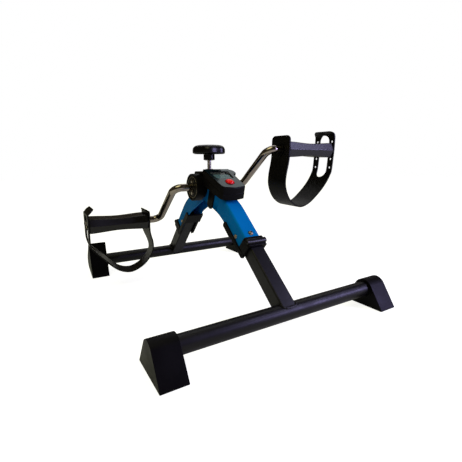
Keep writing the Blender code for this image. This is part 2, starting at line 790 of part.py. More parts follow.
def hub_cover(hand):
    """Round end cover with a raised rim, a recessed face and a collar over the tube's end."""
    start = HOUSING_HALF_WIDTH + GAP
    wall = HUB_HALF_LENGTH + GAP
    face = wall + COVER_WALL
    tip = face + COVER_RECESS
    rim = COVER_RADIUS - COVER_RIM
    skirt = COVER_RADIUS - COVER_SKIRT
    collar = HUB_SEAT + COVER_COLLAR
    profile = [
        (start, HUB_SEAT), (start, collar), (wall - COVER_WALL, collar), (wall - COVER_WALL, skirt),
        (start, skirt), (start, COVER_RADIUS), (tip - COVER_EDGE, COVER_RADIUS),
        (tip, COVER_RADIUS - COVER_EDGE), (tip, rim + COVER_EDGE), (face, rim),
        (face, ROD_BORE + GAP), (wall, ROD_BORE + GAP), (wall, HUB_SEAT),
    ]
    shape = mirrored(turned(profile, ROUND), hand)
    cover = piece(word(hand) + "_hub_cover", shape, black_plastic(), hub_frame())
    for up in (-1, 1):
        hole = rod(BOLT_RADIUS + GAP, wall - GAP, tip, PIN_ROUND, "X", (0, up * BOLT_CIRCLE))
        cut(cover, mirrored(hole, hand))


def cover_bolt(hand, up):
    """Hexagon bolt that holds a cover to its bush."""
    seat = HUB_HALF_LENGTH + GAP + COVER_WALL + GAP
    profile = [(seat - BOLT_LENGTH, 0), (seat - BOLT_LENGTH, BOLT_RADIUS), (seat, BOLT_RADIUS),
               (seat, BOLT_HEAD_RADIUS), (seat + BOLT_HEAD, BOLT_HEAD_RADIUS), (seat + BOLT_HEAD, 0)]
    bolt = turned(profile, PIN_ROUND, "X", (0, up * BOLT_CIRCLE))
    name = word(hand) + ("_upper" if up > 0 else "_lower") + "_cover_bolt"
    piece(name, mirrored(bolt, hand), chrome(), hub_frame())


def axle_bush(hand):
    """Nylon bush that carries the crank in the hub tube's end."""
    low = HUB_HALF_LENGTH - BUSH_LENGTH
    bush = ring(ROD_BORE, HUB_INNER - GAP, low, HUB_HALF_LENGTH, ROUND)
    body = piece(word(hand) + "_axle_bush", mirrored(bush, hand), black_plastic(), hub_frame())
    start = HUB_HALF_LENGTH + COVER_WALL - BOLT_LENGTH - GAP
    end = HUB_HALF_LENGTH + GAP
    for up in (-1, 1):
        hole = rod(BOLT_RADIUS + GAP, start, end, PIN_ROUND, "X", (0, up * BOLT_CIRCLE))
        cut(body, mirrored(hole, hand))


def brake_drum(carrier):
    """Drum on the crank that the brake pad rubs on, with a pocket for the magnet."""
    drum = ring(ROD_BORE, DRUM_RADIUS, -DRUM_HALF_LENGTH, DRUM_HALF_LENGTH, ROUND)
    body = piece("brake_drum", drum, steel(), hub_frame(), carrier)
    bottom = DRUM_RADIUS - MAGNET_LENGTH - 2 * GAP
    pocket = rod(MAGNET_RADIUS + GAP, bottom - GAP, 2 * DRUM_RADIUS, PIN_ROUND, "Z", (MAGNET_PLACE, 0))
    cut(body, pocket)
    magnet = rod(MAGNET_RADIUS, bottom, bottom + MAGNET_LENGTH, PIN_ROUND, "Z", (MAGNET_PLACE, 0))
    piece("crank_magnet", magnet, steel(), hub_frame(), carrier)


def crank(hand, carrier):
    """Bent chrome rod: out of the hub, along the crank and out again as the pedal's axle."""
    end = PEDAL_OUTER + STRAP_THICKNESS
    out = CRANK_OFFSET
    near = (out - ROD_BEND, ROD_BEND)
    far = (out + ROD_BEND, CRANK_RADIUS - ROD_BEND)
    turns = [pi / 2 * k / ROD_BEND_STEPS for k in range(ROD_BEND_STEPS + 1)]
    path = [(ROD_INNER_END, 0.0, 0.0)]
    path += [(near[0] + ROD_BEND * sin(a), near[1] - ROD_BEND * cos(a), a) for a in turns]
    path += [(far[0] - ROD_BEND * sin(a), far[1] + ROD_BEND * cos(a), a) for a in reversed(turns)]
    path.append((end, CRANK_RADIUS, 0.0))
    direction = Vector((0, -cos(CRANK_ANGLE), sin(CRANK_ANGLE))) * hand
    across = Vector((0, direction.z, -direction.y))
    outward = Vector((hand, 0, 0))
    rings = []
    for x, d, a in path:
        normal = direction * cos(a) - outward * sin(a)
        middle = outward * x + direction * d
        rings.append([middle + normal * u + across * v for u, v in circle(ROD_RADIUS, ROD_ROUND)])
    piece(word(hand) + "_crank", loft(rings), chrome(), hub_frame(), carrier)


def pedal_frame(hand):
    """The frame on a pedal's axle, in the middle of the exerciser, tilted as the pedal hangs."""
    y = -hand * CRANK_RADIUS * cos(CRANK_ANGLE)
    z = hand * CRANK_RADIUS * sin(CRANK_ANGLE)
    return hub_frame() @ Matrix.Translation((0, y, z)) @ Matrix.Rotation(PEDAL_TILT, 4, "X")


def axle_washer(hand, carrier):
    """Washer on the axle, inside the strap's inner plate."""
    high = PEDAL_INNER - 2 * GAP - STRAP_THICKNESS
    washer = ring(ROD_BORE, WASHER_RADIUS, high - WASHER_THICKNESS, high, ROUND)
    piece(word(hand) + "_axle_washer", mirrored(washer, hand), steel(), pedal_frame(hand), carrier)


def push_nut(hand, carrier):
    """Push-on nut that keeps the pedal on its axle."""
    high = PEDAL_OUTER + STRAP_THICKNESS
    nut = ring(ROD_BORE, PUSH_NUT_RADIUS, high - PUSH_NUT_THICKNESS, high, ROUND)
    piece(word(hand) + "_push_nut", mirrored(nut, hand), steel(), pedal_frame(hand), carrier)


def pedal_rings():
    """Six-sided pedal sections, tall at the ends and drawn in to a waist."""
    rings = []
    for k in range(PEDAL_STEPS + 1):
        along_pedal = k / PEDAL_STEPS
        high = PEDAL_HALF_HEIGHT - PEDAL_WAIST * sin(pi * along_pedal) ** 2
        x = PEDAL_INNER + PEDAL_LENGTH * along_pedal
        deep, tread = PEDAL_HALF_DEPTH, PEDAL_TREAD_HALF
        quarter = [(deep, 0), (tread + PEDAL_EDGE / 3, high - PEDAL_EDGE), (tread - PEDAL_EDGE, high)]
        half = quarter + [(-y, z) for y, z in reversed(quarter)]
        outline = half + [(-y, -z) for y, z in half[1:-1]]
        rings.append([Vector((x, y, z)) for y, z in outline])
    return rings


def pedal(hand, carrier):
    """Moulded pedal block on the axle, with a boss and pegs for its strap."""
    place = pedal_frame(hand)
    shape = mirrored(loft(pedal_rings()), hand)
    body = piece(word(hand) + "_pedal", shape, black_plastic(), place, carrier)
    root = PEDAL_OUTER - STRAP_THICKNESS
    boss_end = PEDAL_OUTER + GAP + STRAP_THICKNESS + PEG_PROUD / 2
    join(body, mirrored(rod(AXLE_BOSS_RADIUS, root, boss_end, ROUND), hand))
    low, high = PEDAL_INNER - PEG_END, PEDAL_INNER + STRAP_THICKNESS
    for way in (-1, 1):
        outer = rod(PEG_RADIUS, root, PEDAL_OUTER + PEG_END, PIN_ROUND, "X", (way * OUTER_PEG_PLACE, 0))
        join(body, mirrored(outer, hand))
        join(body, mirrored(rod(PEG_RADIUS, low, high, PIN_ROUND, "X", (way * INNER_PEG_PLACE, 0)), hand))
    cut(body, mirrored(rod(ROD_BORE, 0, 2 * PEDAL_OUTER, ROUND), hand))
    seat = PEDAL_OUTER + STRAP_THICKNESS - PUSH_NUT_THICKNESS - GAP
    cut(body, mirrored(rod(PUSH_NUT_RADIUS + RUNNING, seat, 2 * PEDAL_OUTER, ROUND), hand))


def smooth_through(points, steps):
    """A Catmull-Rom curve through points, without the first and last of them."""
    curve = []
    for before, here, after, beyond in zip(points, points[1:], points[2:], points[3:]):
        for k in range(steps):
            t = k / steps
            curve.append(here + 0.5 * t * ((after - before) + t * (
                (2 * before - 5 * here + 4 * after - beyond) + t * (3 * (here - after) + beyond - before))))
    return curve + [points[-2]]


def strap_centre(sag):
    """Centreline of a strap, as (out, up) from the pedal's inner end and its axle."""
    full = -min(v for _, v in STRAP_LOOP)
    stretch = (sag + STRAP_INNER_LOW) / (full + STRAP_INNER_LOW)
    curl = [Vector(point) for point in STRAP_CURL]
    loop = [Vector((u, STRAP_INNER_LOW + (v - STRAP_INNER_LOW) * stretch)) for u, v in STRAP_LOOP]
    inner = [Vector((STRAP_INNER_MID, v)) for v in (STRAP_INNER_TOP, STRAP_INNER_LOW)]
    outer = [Vector((STRAP_OUTER_MID, v)) for v in (STRAP_OUTER_LOW, -STRAP_INNER_LOW)]
    tip = [Vector(point) for point in STRAP_TIP]
    return curl + inner[:1] + smooth_through(inner + loop + outer, 2) + outer[1:] + tip


def strap_stations(sag):
    """Points along a strap, each with its distance from the nearer end, close together at round corners."""
    line = strap_centre(sag)
    places = [0.0]
    for here, after in zip(line, line[1:]):
        places.append(places[-1] + (after - here).length)
    total = places[-1]
    turns = [pi / 2 * k / STRAP_CORNER_STEPS for k in range(1, STRAP_CORNER_STEPS + 1)]
    near = [STRAP_CORNER * (1 - cos(a)) for a in turns]
    extra = near + [total - distance for distance in near]
    kept = [place for place in places if min(abs(place - other) for other in extra) > STRAP_THICKNESS / 5]
    stations = []
    for place in sorted(kept + extra):
        k = max(i for i in range(len(line) - 1) if places[i] <= place)
        share = (place - places[k]) / (places[k + 1] - places[k])
        stations.append((line[k].lerp(line[k + 1], share), min(place, total - place)))
    return stations


def strap_rings(sag):
    """Sections across a strap, narrower towards its ends so that their corners are round."""
    stations = strap_stations(sag)
    rings = []
    for k, (point, distance) in enumerate(stations):
        ahead = stations[min(k + 1, len(stations) - 1)][0] - stations[max(k - 1, 0)][0]
        normal = Vector((-ahead.y, ahead.x)).normalized() * STRAP_THICKNESS / 2
        rest = max(0.0, STRAP_CORNER - distance)
        half = STRAP_HALF_WIDTH - STRAP_CORNER + sqrt(STRAP_CORNER ** 2 - rest ** 2)
        one, other = point + normal, point - normal
        corners = [(one, half), (one, -half), (other, -half), (other, half)]
        rings.append([Vector((PEDAL_INNER + at.x, y, at.y)) for at, y in corners])
    return rings


def strap_slot():
    """Long slot with round ends and the ladder of peg holes beside it."""
    half = STRAP_SLOT_HALF
    top = arc((0, STRAP_SLOT_TOP - half), half, 0, pi, 6)
    low = arc((0, STRAP_SLOT_LOW + half), half, pi, 2 * pi, 6)
    start, end = PEDAL_OUTER - STRAP_CUT_REACH, PEDAL_OUTER + STRAP_CUT_REACH
    shapes = [prism(top + low, start, end)]
    for k in range(STRAP_HOLES):
        for way in (-1, 1):
            place = (way * OUTER_PEG_PLACE, STRAP_HOLE_PITCH * (1 - k))
            shapes.append(rod(STRAP_HOLE_RADIUS, start, end, TINY_ROUND, "X", place))
    return together(shapes)


def axle_holes():
    """Holes in the strap's inner plate for the axle and the pedal's two pegs."""
    start, end = PEDAL_INNER - STRAP_CUT_REACH, PEDAL_INNER + STRAP_CUT_REACH
    holes = [rod(ROD_BORE + GAP, start, end, ROUND)]
    for way in (-1, 1):
        place = (way * INNER_PEG_PLACE, 0)
        holes.append(rod(STRAP_HOLE_RADIUS, start, end, TINY_ROUND, "X", place))
    return together(holes)


def strap(hand, sag, carrier):
    """Flexible strap: an inner plate on the axle, a loop under the foot and a slotted outer plate."""
    shape = mirrored(loft(strap_rings(sag)), hand)
    body = piece(word(hand) + "_pedal_strap", shape, strap_rubber(), pedal_frame(hand), carrier)
    cut(body, mirrored(axle_holes(), hand))
    cut(body, mirrored(strap_slot(), hand))


def brake_pad(carrier):
    """Felt pad with a hollow underside that fits the drum once it is pressed down."""
    top = HUB_RADIUS + PAD_THICKNESS
    radius = DRUM_RADIUS + RUNNING
    spread = asin(PAD_HALF_DEPTH / radius)
    hollow = arc((0, BRAKE_TRAVEL), radius, pi / 2 + spread, pi / 2 - spread, 8)
    outline = hollow + [(PAD_HALF_DEPTH, top), (-PAD_HALF_DEPTH, top)]
    pad = prism(outline, -PAD_HALF_WIDTH, PAD_HALF_WIDTH)
    piece("brake_pad", pad, brake_felt(), hub_frame(), carrier)
    across, deep = PAD_HALF_WIDTH, PAD_HALF_DEPTH
    plate = block((-across, across), (-deep, deep), (top + GAP, HOLDER_TOP))
    piece("pad_holder", plate, steel(), hub_frame(), carrier)


def tension_nut():
    """Thin hexagon nut on top of the housing."""
    low = HOUSING_TOP + GAP
    nut = prism(circle(NUT_FLATS / cos(pi / 6), 6), low, low + NUT_THICKNESS, "Z")
    body = piece("tension_nut", nut, steel(), hub_frame())
    cut(body, rod(SCREW_RADIUS + RUNNING, low - GAP, low + 2 * NUT_THICKNESS, ROD_ROUND, "Z"))


def tension_screw(carrier):
    """Threaded stud from the pad holder up into the knob."""
    top = KNOB_LOW - GAP
    edge = SCREW_RADIUS / 5
    profile = [(SCREW_TIP, 0), (SCREW_TIP, SCREW_RADIUS - edge), (SCREW_TIP + edge, SCREW_RADIUS),
               (top, SCREW_RADIUS), (top, 0)]
    piece("tension_screw", turned(profile, ROD_ROUND, "Z"), steel(), hub_frame(), carrier)


def knob_profile():
    """Height, radius and share of lobe depth, from the stem's end up over the domed head."""
    stem = STEM_END + KNOB_CONE
    profile = [(STEM_END, KNOB_CONE_RADIUS, 0), (stem, KNOB_STEM_RADIUS, 0), (KNOB_LOW, KNOB_STEM_RADIUS, 0),
               (KNOB_LOW, KNOB_RADIUS - KNOB_EDGE, 1), (KNOB_LOW + KNOB_EDGE, KNOB_RADIUS, 1)]
    dome = KNOB_HEIGHT - KNOB_SHOULDER
    for k in range(KNOB_DOME_STEPS + 1):
        a = KNOB_DOME_SPAN * k / KNOB_DOME_STEPS
        height = KNOB_LOW + KNOB_SHOULDER + dome * sin(a) / sin(KNOB_DOME_SPAN)
        profile.append((height, KNOB_RADIUS * cos(a) ** KNOB_DOME_POWER, cos(a)))
    return profile


def tension_knob(carrier):
    """Lobed knob head on a round stem."""
    sides = KNOB_LOBE_STEPS * KNOB_LOBES
    rings = []
    for z, radius, share in knob_profile():
        ring_points = []
        for k in range(sides):
            a = 2 * pi * k / sides
            here = radius + share * KNOB_LOBE_DEPTH * cos(KNOB_LOBES * a)
            ring_points.append(Vector((here * cos(a), here * sin(a), z)))
        rings.append(ring_points)
    knob = piece("tension_knob", loft(rings), gloss_black(), hub_frame(), carrier)
    cut(knob, rod(SCREW_RADIUS + GAP, STEM_END - KNOB_CONE, KNOB_LOW, ROD_ROUND, "Z"))


def floor_level(t):
    """Height of the console's underside, which lies along the arm, at t from its rear edge."""
    clearance = ARM_WEB_OUT - FRONT_ARM_DROP + 2 * GAP + SADDLE_WALL
    return (clearance - CONSOLE_HEIGHT) / cos(CONSOLE_TILT) + t * tan(CONSOLE_TILT)


def console_outline(level, inset=0.0):
    """Console's plan at a level, whose front and rear lean outwards and inwards as it goes down."""
    front = -level(CONSOLE_LENGTH) * CONSOLE_FRONT_LEAN - inset
    rear = -level(0.0) * CONSOLE_REAR_LEAN + inset
    right = [
        (CONSOLE_REAR_HALF - inset, rear),
        (CONSOLE_FRONT_HALF - inset, CONSOLE_SIDE_LENGTH + front),
        (CONSOLE_CORNER_HALF - inset, CONSOLE_CORNER_LENGTH + front),
        (0.0, CONSOLE_LENGTH + front),
    ]
    plan = right + [(-x, t) for x, t in reversed(right[:-1])]
    return [Vector((x, -t, level(t))) for x, t in plan]


def console_shell(high, low, inset=0.0):
    """Console body between two levels, which may slope."""
    return loft([console_outline(high, inset), console_outline(low, inset)])


def window_outline(inset):
    """Outline of the display window, wider at the rear."""
    corner = WINDOW_LEDGE
    return rounded([
        (-WINDOW_REAR_HALF + inset, -WINDOW_REAR - inset, corner),
        (-WINDOW_FRONT_HALF + inset, -WINDOW_FRONT + inset, corner),
        (WINDOW_FRONT_HALF - inset, -WINDOW_FRONT + inset, corner),
        (WINDOW_REAR_HALF - inset, -WINDOW_REAR - inset, corner),
    ], 2)


def console_top():
    """Upper shell with the display window, the button's hole, an ear and the board's posts."""
    shell = console_shell(lambda t: 0.0, lambda t: -CONSOLE_PARTING)
    rim = [edge for edge in shell.edges if all(v.co.z > -GAP for v in edge.verts)]
    bmesh.ops.bevel(shell, geom=rim, offset=CONSOLE_EDGE, segments=2, profile=0.5, affect="EDGES")
    top = piece("console_top", shell, console_grey(), console_frame())
    ear_profile = [(-EAR_THICKNESS, 0), (-EAR_THICKNESS, EAR_RADIUS), (-CONSOLE_EDGE, EAR_RADIUS),
                   (-GAP, EAR_RADIUS - CONSOLE_EDGE), (-GAP, 0)]
    join(top, turned(ear_profile, ROUND, "Z", (EAR_REACH, -EAR_PLACE)))
    inside = console_shell(lambda t: -CONSOLE_WALL, lambda t: -CONSOLE_PARTING - CONSOLE_WALL, CONSOLE_WALL)
    cut(top, inside)
    ledge = WINDOW_THICKNESS + GAP
    cut(top, prism(window_outline(0.0), -ledge, CONSOLE_WALL, "Z"))
    cut(top, prism(window_outline(WINDOW_LEDGE), -2 * CONSOLE_WALL, CONSOLE_WALL, "Z"))
    hole = rod(BUTTON_RADIUS + RUNNING, -2 * CONSOLE_WALL, CONSOLE_WALL, ROD_ROUND, "Z", (0, -BUTTON_PLACE))
    cut(top, hole)
    board = CONSOLE_WALL + GAP + DISPLAY_THICKNESS
    for x, y in board_posts():
        join(top, rod(POST_RADIUS, -board, -CONSOLE_WALL / 2, TINY_ROUND, "Z", (x, y)))


def board_posts():
    """Places of the two pairs of posts that the circuit board hangs on."""
    x = BOARD_HALF_WIDTH - POST_RADIUS
    rows = (WINDOW_FRONT + 2 * POST_RADIUS, BOARD_FRONT - POST_RADIUS)
    return [(way * x, -t) for way in (-1, 1) for t in rows]


def console_base():
    """Lower shell, whose floor lies along the arm and has the battery's hole."""
    parting = CONSOLE_PARTING + GAP
    shell = console_shell(lambda t: -parting, floor_level)
    base = piece("console_base", shell, black_plastic(), console_frame())
    inside = console_shell(lambda t: -parting + CONSOLE_WALL,
                           lambda t: floor_level(t) + CONSOLE_WALL, CONSOLE_WALL)
    cut(base, inside)
    floor = floor_level(BATTERY_PLACE)
    low, high = floor - CONSOLE_WALL, floor + 2 * CONSOLE_WALL
    cut(base, rod(BATTERY_COVER_RADIUS + GAP, low, high, ROD_ROUND, "Z", (0, -BATTERY_PLACE)))


def console_innards():
    """Window, display, circuit board, button cell and battery cover."""
    place = console_frame()
    window = prism(window_outline(GAP), -WINDOW_THICKNESS, 0.0, "Z")
    piece("lcd_window", window, clear_plastic(), place)
    under = -CONSOLE_WALL - GAP
    half = WINDOW_FRONT_HALF
    rear = -WINDOW_REAR - WINDOW_LEDGE
    display = block((-half, half), (-WINDOW_FRONT, rear), (under - DISPLAY_THICKNESS, under))
    piece("lcd_display", display, display_glass(), place)
    top = under - DISPLAY_THICKNESS - GAP
    width = BOARD_HALF_WIDTH
    board = block((-width, width), (-BOARD_FRONT, -BOARD_REAR), (top - BOARD_THICKNESS, top))
    piece("circuit_board", board, board_green(), place)
    low = floor_level(BATTERY_PLACE) + (CONSOLE_WALL - BATTERY_COVER_THICKNESS) / 2
    centre = (0, -BATTERY_PLACE)
    cover = rod(BATTERY_COVER_RADIUS, low, low + BATTERY_COVER_THICKNESS, ROD_ROUND, "Z", centre)
    piece("battery_cover", cover, black_plastic(), place)
    cell_low = low + BATTERY_COVER_THICKNESS + GAP
    cell = rod(CELL_RADIUS, cell_low, cell_low + CELL_THICKNESS, ROD_ROUND, "Z", centre)
    piece("button_cell", cell, steel(), place)


def button_frame():
    return console_frame() @ Matrix.Translation((0, -BUTTON_PLACE, 0))


def reset_button(carrier):
    """Domed button, kept in the top by a flange under it."""
    under = -CONSOLE_WALL - GAP
    profile = [(under - BUTTON_FLANGE, 0), (under - BUTTON_FLANGE, BUTTON_RADIUS + CONSOLE_WALL / 2),
               (under, BUTTON_RADIUS + CONSOLE_WALL / 2), (under, BUTTON_RADIUS)]
    steps = 4
    for k in range(steps):
        a = pi / 2 * k / steps
        profile.append((BUTTON_DOME * (sin(a) * 2 + 1) / 3, BUTTON_RADIUS * cos(a)))
    profile.append((BUTTON_DOME, 0))
    piece("reset_button", turned(profile, ROD_ROUND, "Z"), red_plastic(), button_frame(), carrier)


def reed_switch():
    """Small glass switch in the housing, above the magnet's path."""
    centre = (MAGNET_PLACE, HUB_RADIUS + GAP + REED_RADIUS)
    tube = rod(REED_RADIUS, -REED_LENGTH / 2, REED_LENGTH / 2, TINY_ROUND, "Y", centre)
    piece("reed_switch", tube, clear_plastic(), hub_frame())


def console_saddle():
    """Moulded clamp that carries the console on the front arm, with a round-ended tab each side."""
    web = ARM_WEB_OUT - FRONT_ARM_DROP + GAP
    low = ARM_LOW - FRONT_ARM_DROP - SADDLE_TAB
    front, back = -SADDLE_FRONT, -SADDLE_FRONT + SADDLE_LENGTH
    outline = rounded([(front, low, SADDLE_CORNER), (back, low, SADDLE_CORNER),
                       (back, web + SADDLE_WALL, 0), (front, web + SADDLE_WALL, 0)], 4)
    half = ARM_HALF + GAP + SADDLE_WALL
    saddle = piece("console_saddle", prism(outline, -half, half), black_plastic(), arm_frame())
    inner = ARM_HALF + GAP
    cut(saddle, block((-inner, inner), (2 * front, -front), (2 * low, web)))


def build_leg(side):
    """One leg with its bar, caps, arm, hinge and lock clip."""
    fold = pivot(side.name + "_leg_pivot", hinge_frame(side))
    base_bar(side, fold)
    end_cap(side, -1, fold)
    end_cap(side, 1, fold, REAR_LEFT_CAP_TURN if side is REAR else 0.0)
    leg(side, fold)
    arm(side)
    hinge_pin(side)
    stop_rivet(side)
    hinge_collar(side)
    lock_clip(side, pivot(side.name + "_clip_pivot", clip_frame(side)))


def build_hub():
    """Hub tube, housing, covers and bushes."""
    hub_tube()
    hub_housing()
    reed_switch()
    for hand in (-1, 1):
        hub_cover(hand)
        axle_bush(hand)
        for up in (-1, 1):
            cover_bolt(hand, up)


def build_crank():
    """Crank, drum and everything that turns on or with them."""
    axle = pivot("crank_pivot", hub_frame())
    brake_drum(axle)
    for hand, sag in ((-1, LEFT_STRAP_SAG), (1, RIGHT_STRAP_SAG)):
        crank(hand, axle)
        axle_washer(hand, axle)
        push_nut(hand, axle)
        spindle = pivot(word(hand) + "_pedal_pivot", pedal_frame(hand))
        pedal(hand, spindle)
        strap(hand, sag, spindle)


def build_brake():
    """Brake pad, its holder, the screw and its knob."""
    slide = pivot("brake_slide", hub_frame())
    brake_pad(slide)
    tension_nut()
    turn = pivot("knob_pivot", hub_frame())
    tension_screw(turn)
    tension_knob(turn)


def build_console():
    """Counter console on its saddle."""
    console_saddle()
    console_base()
    console_top()
    console_innards()
    reset_button(pivot("button_pivot", button_frame()))


def main():
    clear_scene()
    build_leg(FRONT)
    build_leg(REAR)
    build_hub()
    build_crank()
    build_brake()
    build_console()


main()
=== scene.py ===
"""Looks of a folding pedal exerciser: detailed pieces, finishes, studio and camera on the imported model."""
import logging
from dataclasses import dataclass
from enum import Enum
from functools import cache
from math import acos, atan2, copysign, cos, hypot, inf, pi, radians, sin, sqrt, tan
from typing import Callable, Optional, Sequence

import bmesh
import bpy
from mathutils import Matrix, Vector


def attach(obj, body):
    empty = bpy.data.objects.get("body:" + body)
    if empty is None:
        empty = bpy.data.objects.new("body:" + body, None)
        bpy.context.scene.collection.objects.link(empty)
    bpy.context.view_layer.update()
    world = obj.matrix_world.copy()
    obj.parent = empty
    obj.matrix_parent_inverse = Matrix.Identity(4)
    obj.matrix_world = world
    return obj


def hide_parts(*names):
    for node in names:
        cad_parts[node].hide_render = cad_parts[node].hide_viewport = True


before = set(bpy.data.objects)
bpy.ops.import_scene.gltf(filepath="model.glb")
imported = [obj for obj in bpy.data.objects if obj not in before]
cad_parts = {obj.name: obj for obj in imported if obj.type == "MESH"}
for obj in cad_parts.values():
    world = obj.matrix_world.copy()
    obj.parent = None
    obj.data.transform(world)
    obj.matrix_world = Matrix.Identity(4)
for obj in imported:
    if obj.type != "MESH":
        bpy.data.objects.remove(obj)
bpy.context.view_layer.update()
log = logging.getLogger("pedal_exerciser")

Colour = tuple[float, float, float]
Corner = tuple[float, float, float]
Span = tuple[float, float]
EdgeTest = Callable[[bmesh.types.BMEdge], bool]

GAP = 0.0003
TINY = 1e-7
WHITE = (1.0, 1.0, 1.0)
X, Z = 0, 2
UPRIGHT = Matrix.Rotation(pi / 2, 4, "X")
ACROSS = Matrix(((0, 0, 1, 0), (1, 0, 0, 0), (0, 1, 0, 0), (0, 0, 0, 1)))
ALONG_Z = Matrix.Rotation(-pi / 2, 4, "Y")


class Hand(Enum):
    """Which side of the exerciser a piece is on, as the sign of its X."""

    LEFT = -1
    RIGHT = 1

    @property
    def word(self) -> str:
        """The hand as it stands in a piece's name."""
        return self.name.lower()

    def mirror(self) -> Matrix:
        """Turns a right-hand shape into this hand's."""
        return Matrix.Diagonal((self.value, 1, 1, 1))


# Short helpers


def at(x: float, y: float, z: float) -> Matrix:
    """A move."""
    return Matrix.Translation((x, y, z))


def between(axis: int, low: float = -inf, high: float = inf) -> EdgeTest:
    """A test for edges that lie between two places on an axis."""
    return lambda edge: all(low < vert.co[axis] < high for vert in edge.verts)


def is_level(edge: bmesh.types.BMEdge) -> bool:
    """Whether both ends of an edge are equally high."""
    return len({round(vert.co.z, 5) for vert in edge.verts}) == 1


def stand(name: str, data: bpy.types.ID) -> bpy.types.Object:
    """Puts an object with this data in the scene."""
    item = bpy.data.objects.new(name, data)
    bpy.context.scene.collection.objects.link(item)
    return item


def settled(item: bpy.types.Object) -> bpy.types.Mesh:
    """A new mesh of an object with its modifiers or its bevel applied."""
    return bpy.data.meshes.new_from_object(item.evaluated_get(bpy.context.evaluated_depsgraph_get()))


# Effects that several finishes share


class Graph:
    """Short calls that add and join the nodes of one tree."""

    def __init__(self, tree: bpy.types.NodeTree) -> None:
        """Keeps the tree of a material, world or group."""
        self.tree = tree

    @classmethod
    def emptied(cls, owner: bpy.types.ID) -> "Graph":
        """The graph of a material or world, with its first nodes taken out."""
        owner.use_nodes = True
        owner.node_tree.nodes.clear()
        return cls(owner.node_tree)

    def add(self, kind: str, **settings: object) -> bpy.types.Node:
        """Adds a node.

        Args:
            kind: The node's type name without its ShaderNode prefix.
            settings: Its properties.

        Returns:
            The new node.
        """
        node = self.tree.nodes.new(kind if kind.startswith("Node") else "ShaderNode" + kind)
        for name, value in settings.items():
            setattr(node, name, value)
        return node

    def wire(self, socket: bpy.types.NodeSocket, value: object) -> None:
        """Links a socket to another one, or sets its value. A colour gets its alpha here."""
        if isinstance(value, bpy.types.NodeSocket):
            self.tree.links.new(value, socket)
        else:
            socket.default_value = (*value, 1.0) if socket.type == "RGBA" else value

    def feed(self, node: bpy.types.Node, *values: object, **named: object) -> bpy.types.Node:
        """Links or sets a node's inputs.

        Args:
            node: The node.
            values: What its first inputs get, in order.
            named: What other inputs get, by name with underscores for spaces.

        Returns:
            The same node.
        """
        for index, value in enumerate(values):
            self.wire(node.inputs[index], value)
        for name, value in named.items():
            self.wire(node.inputs[name.replace("_", " ")], value)
        return node

    def maths(self, operation: str, first: object, second: object, clamp: bool = False) -> bpy.types.NodeSocket:
        """The result of a Math node, kept between 0 and 1 if clamped."""
        return self.feed(self.add("Math", operation=operation, use_clamp=clamp), first, second).outputs[0]

    def spread(self, value: object, low: float, high: float, to_low: float = 0.0,
               to_high: float = 1.0) -> bpy.types.NodeSocket:
        """A value mapped from one range to another, clamped."""
        return self.feed(self.add("MapRange"), value, low, high, to_low, to_high).outputs["Result"]

    def blend(self, factor: object, first: object, second: object) -> bpy.types.NodeSocket:
        """Mixes two colours.

        Args:
            factor: The share of the second colour.
            first: The first colour or source.
            second: The second colour or source.

        Returns:
            The mixed colour.
        """
        node = self.feed(self.add("Mix", data_type="RGBA"), factor)
        self.wire(node.inputs[6], first)
        self.wire(node.inputs[7], second)
        return node.outputs[2]

    def bump(self, height: object, strength: float, depth: float) -> bpy.types.NodeSocket:
        """The normal that a height bends, by a strength and a depth in metres."""
        return self.feed(self.add("Bump"), Strength=strength, Distance=depth, Height=height).outputs["Normal"]

    def noise(self, vector: bpy.types.NodeSocket, scale: object, detail: float) -> bpy.types.NodeSocket:
        """Adds a noise texture and returns its value."""
        return self.feed(self.add("TexNoise"), Vector=vector, Scale=scale, Detail=detail).outputs["Fac"]

    def place(self, stretch: Colour = WHITE, on_uv: bool = False) -> bpy.types.NodeSocket:
        """Gives the piece's own coordinates.

        Args:
            stretch: How they are scaled along each axis.
            on_uv: Whether they follow the UV map rather than the object.

        Returns:
            The mapped coordinates.
        """
        source = self.add("TexCoord").outputs["UV" if on_uv else "Object"]
        return self.feed(self.add("Mapping"), Vector=source, Scale=stretch).outputs["Vector"]

    def group(self, tree: bpy.types.NodeTree, **values: float) -> bpy.types.bpy_prop_collection:
        """Places a node group with its own values, and gives its outputs."""
        return self.feed(self.add("Group", node_tree=tree), **values).outputs


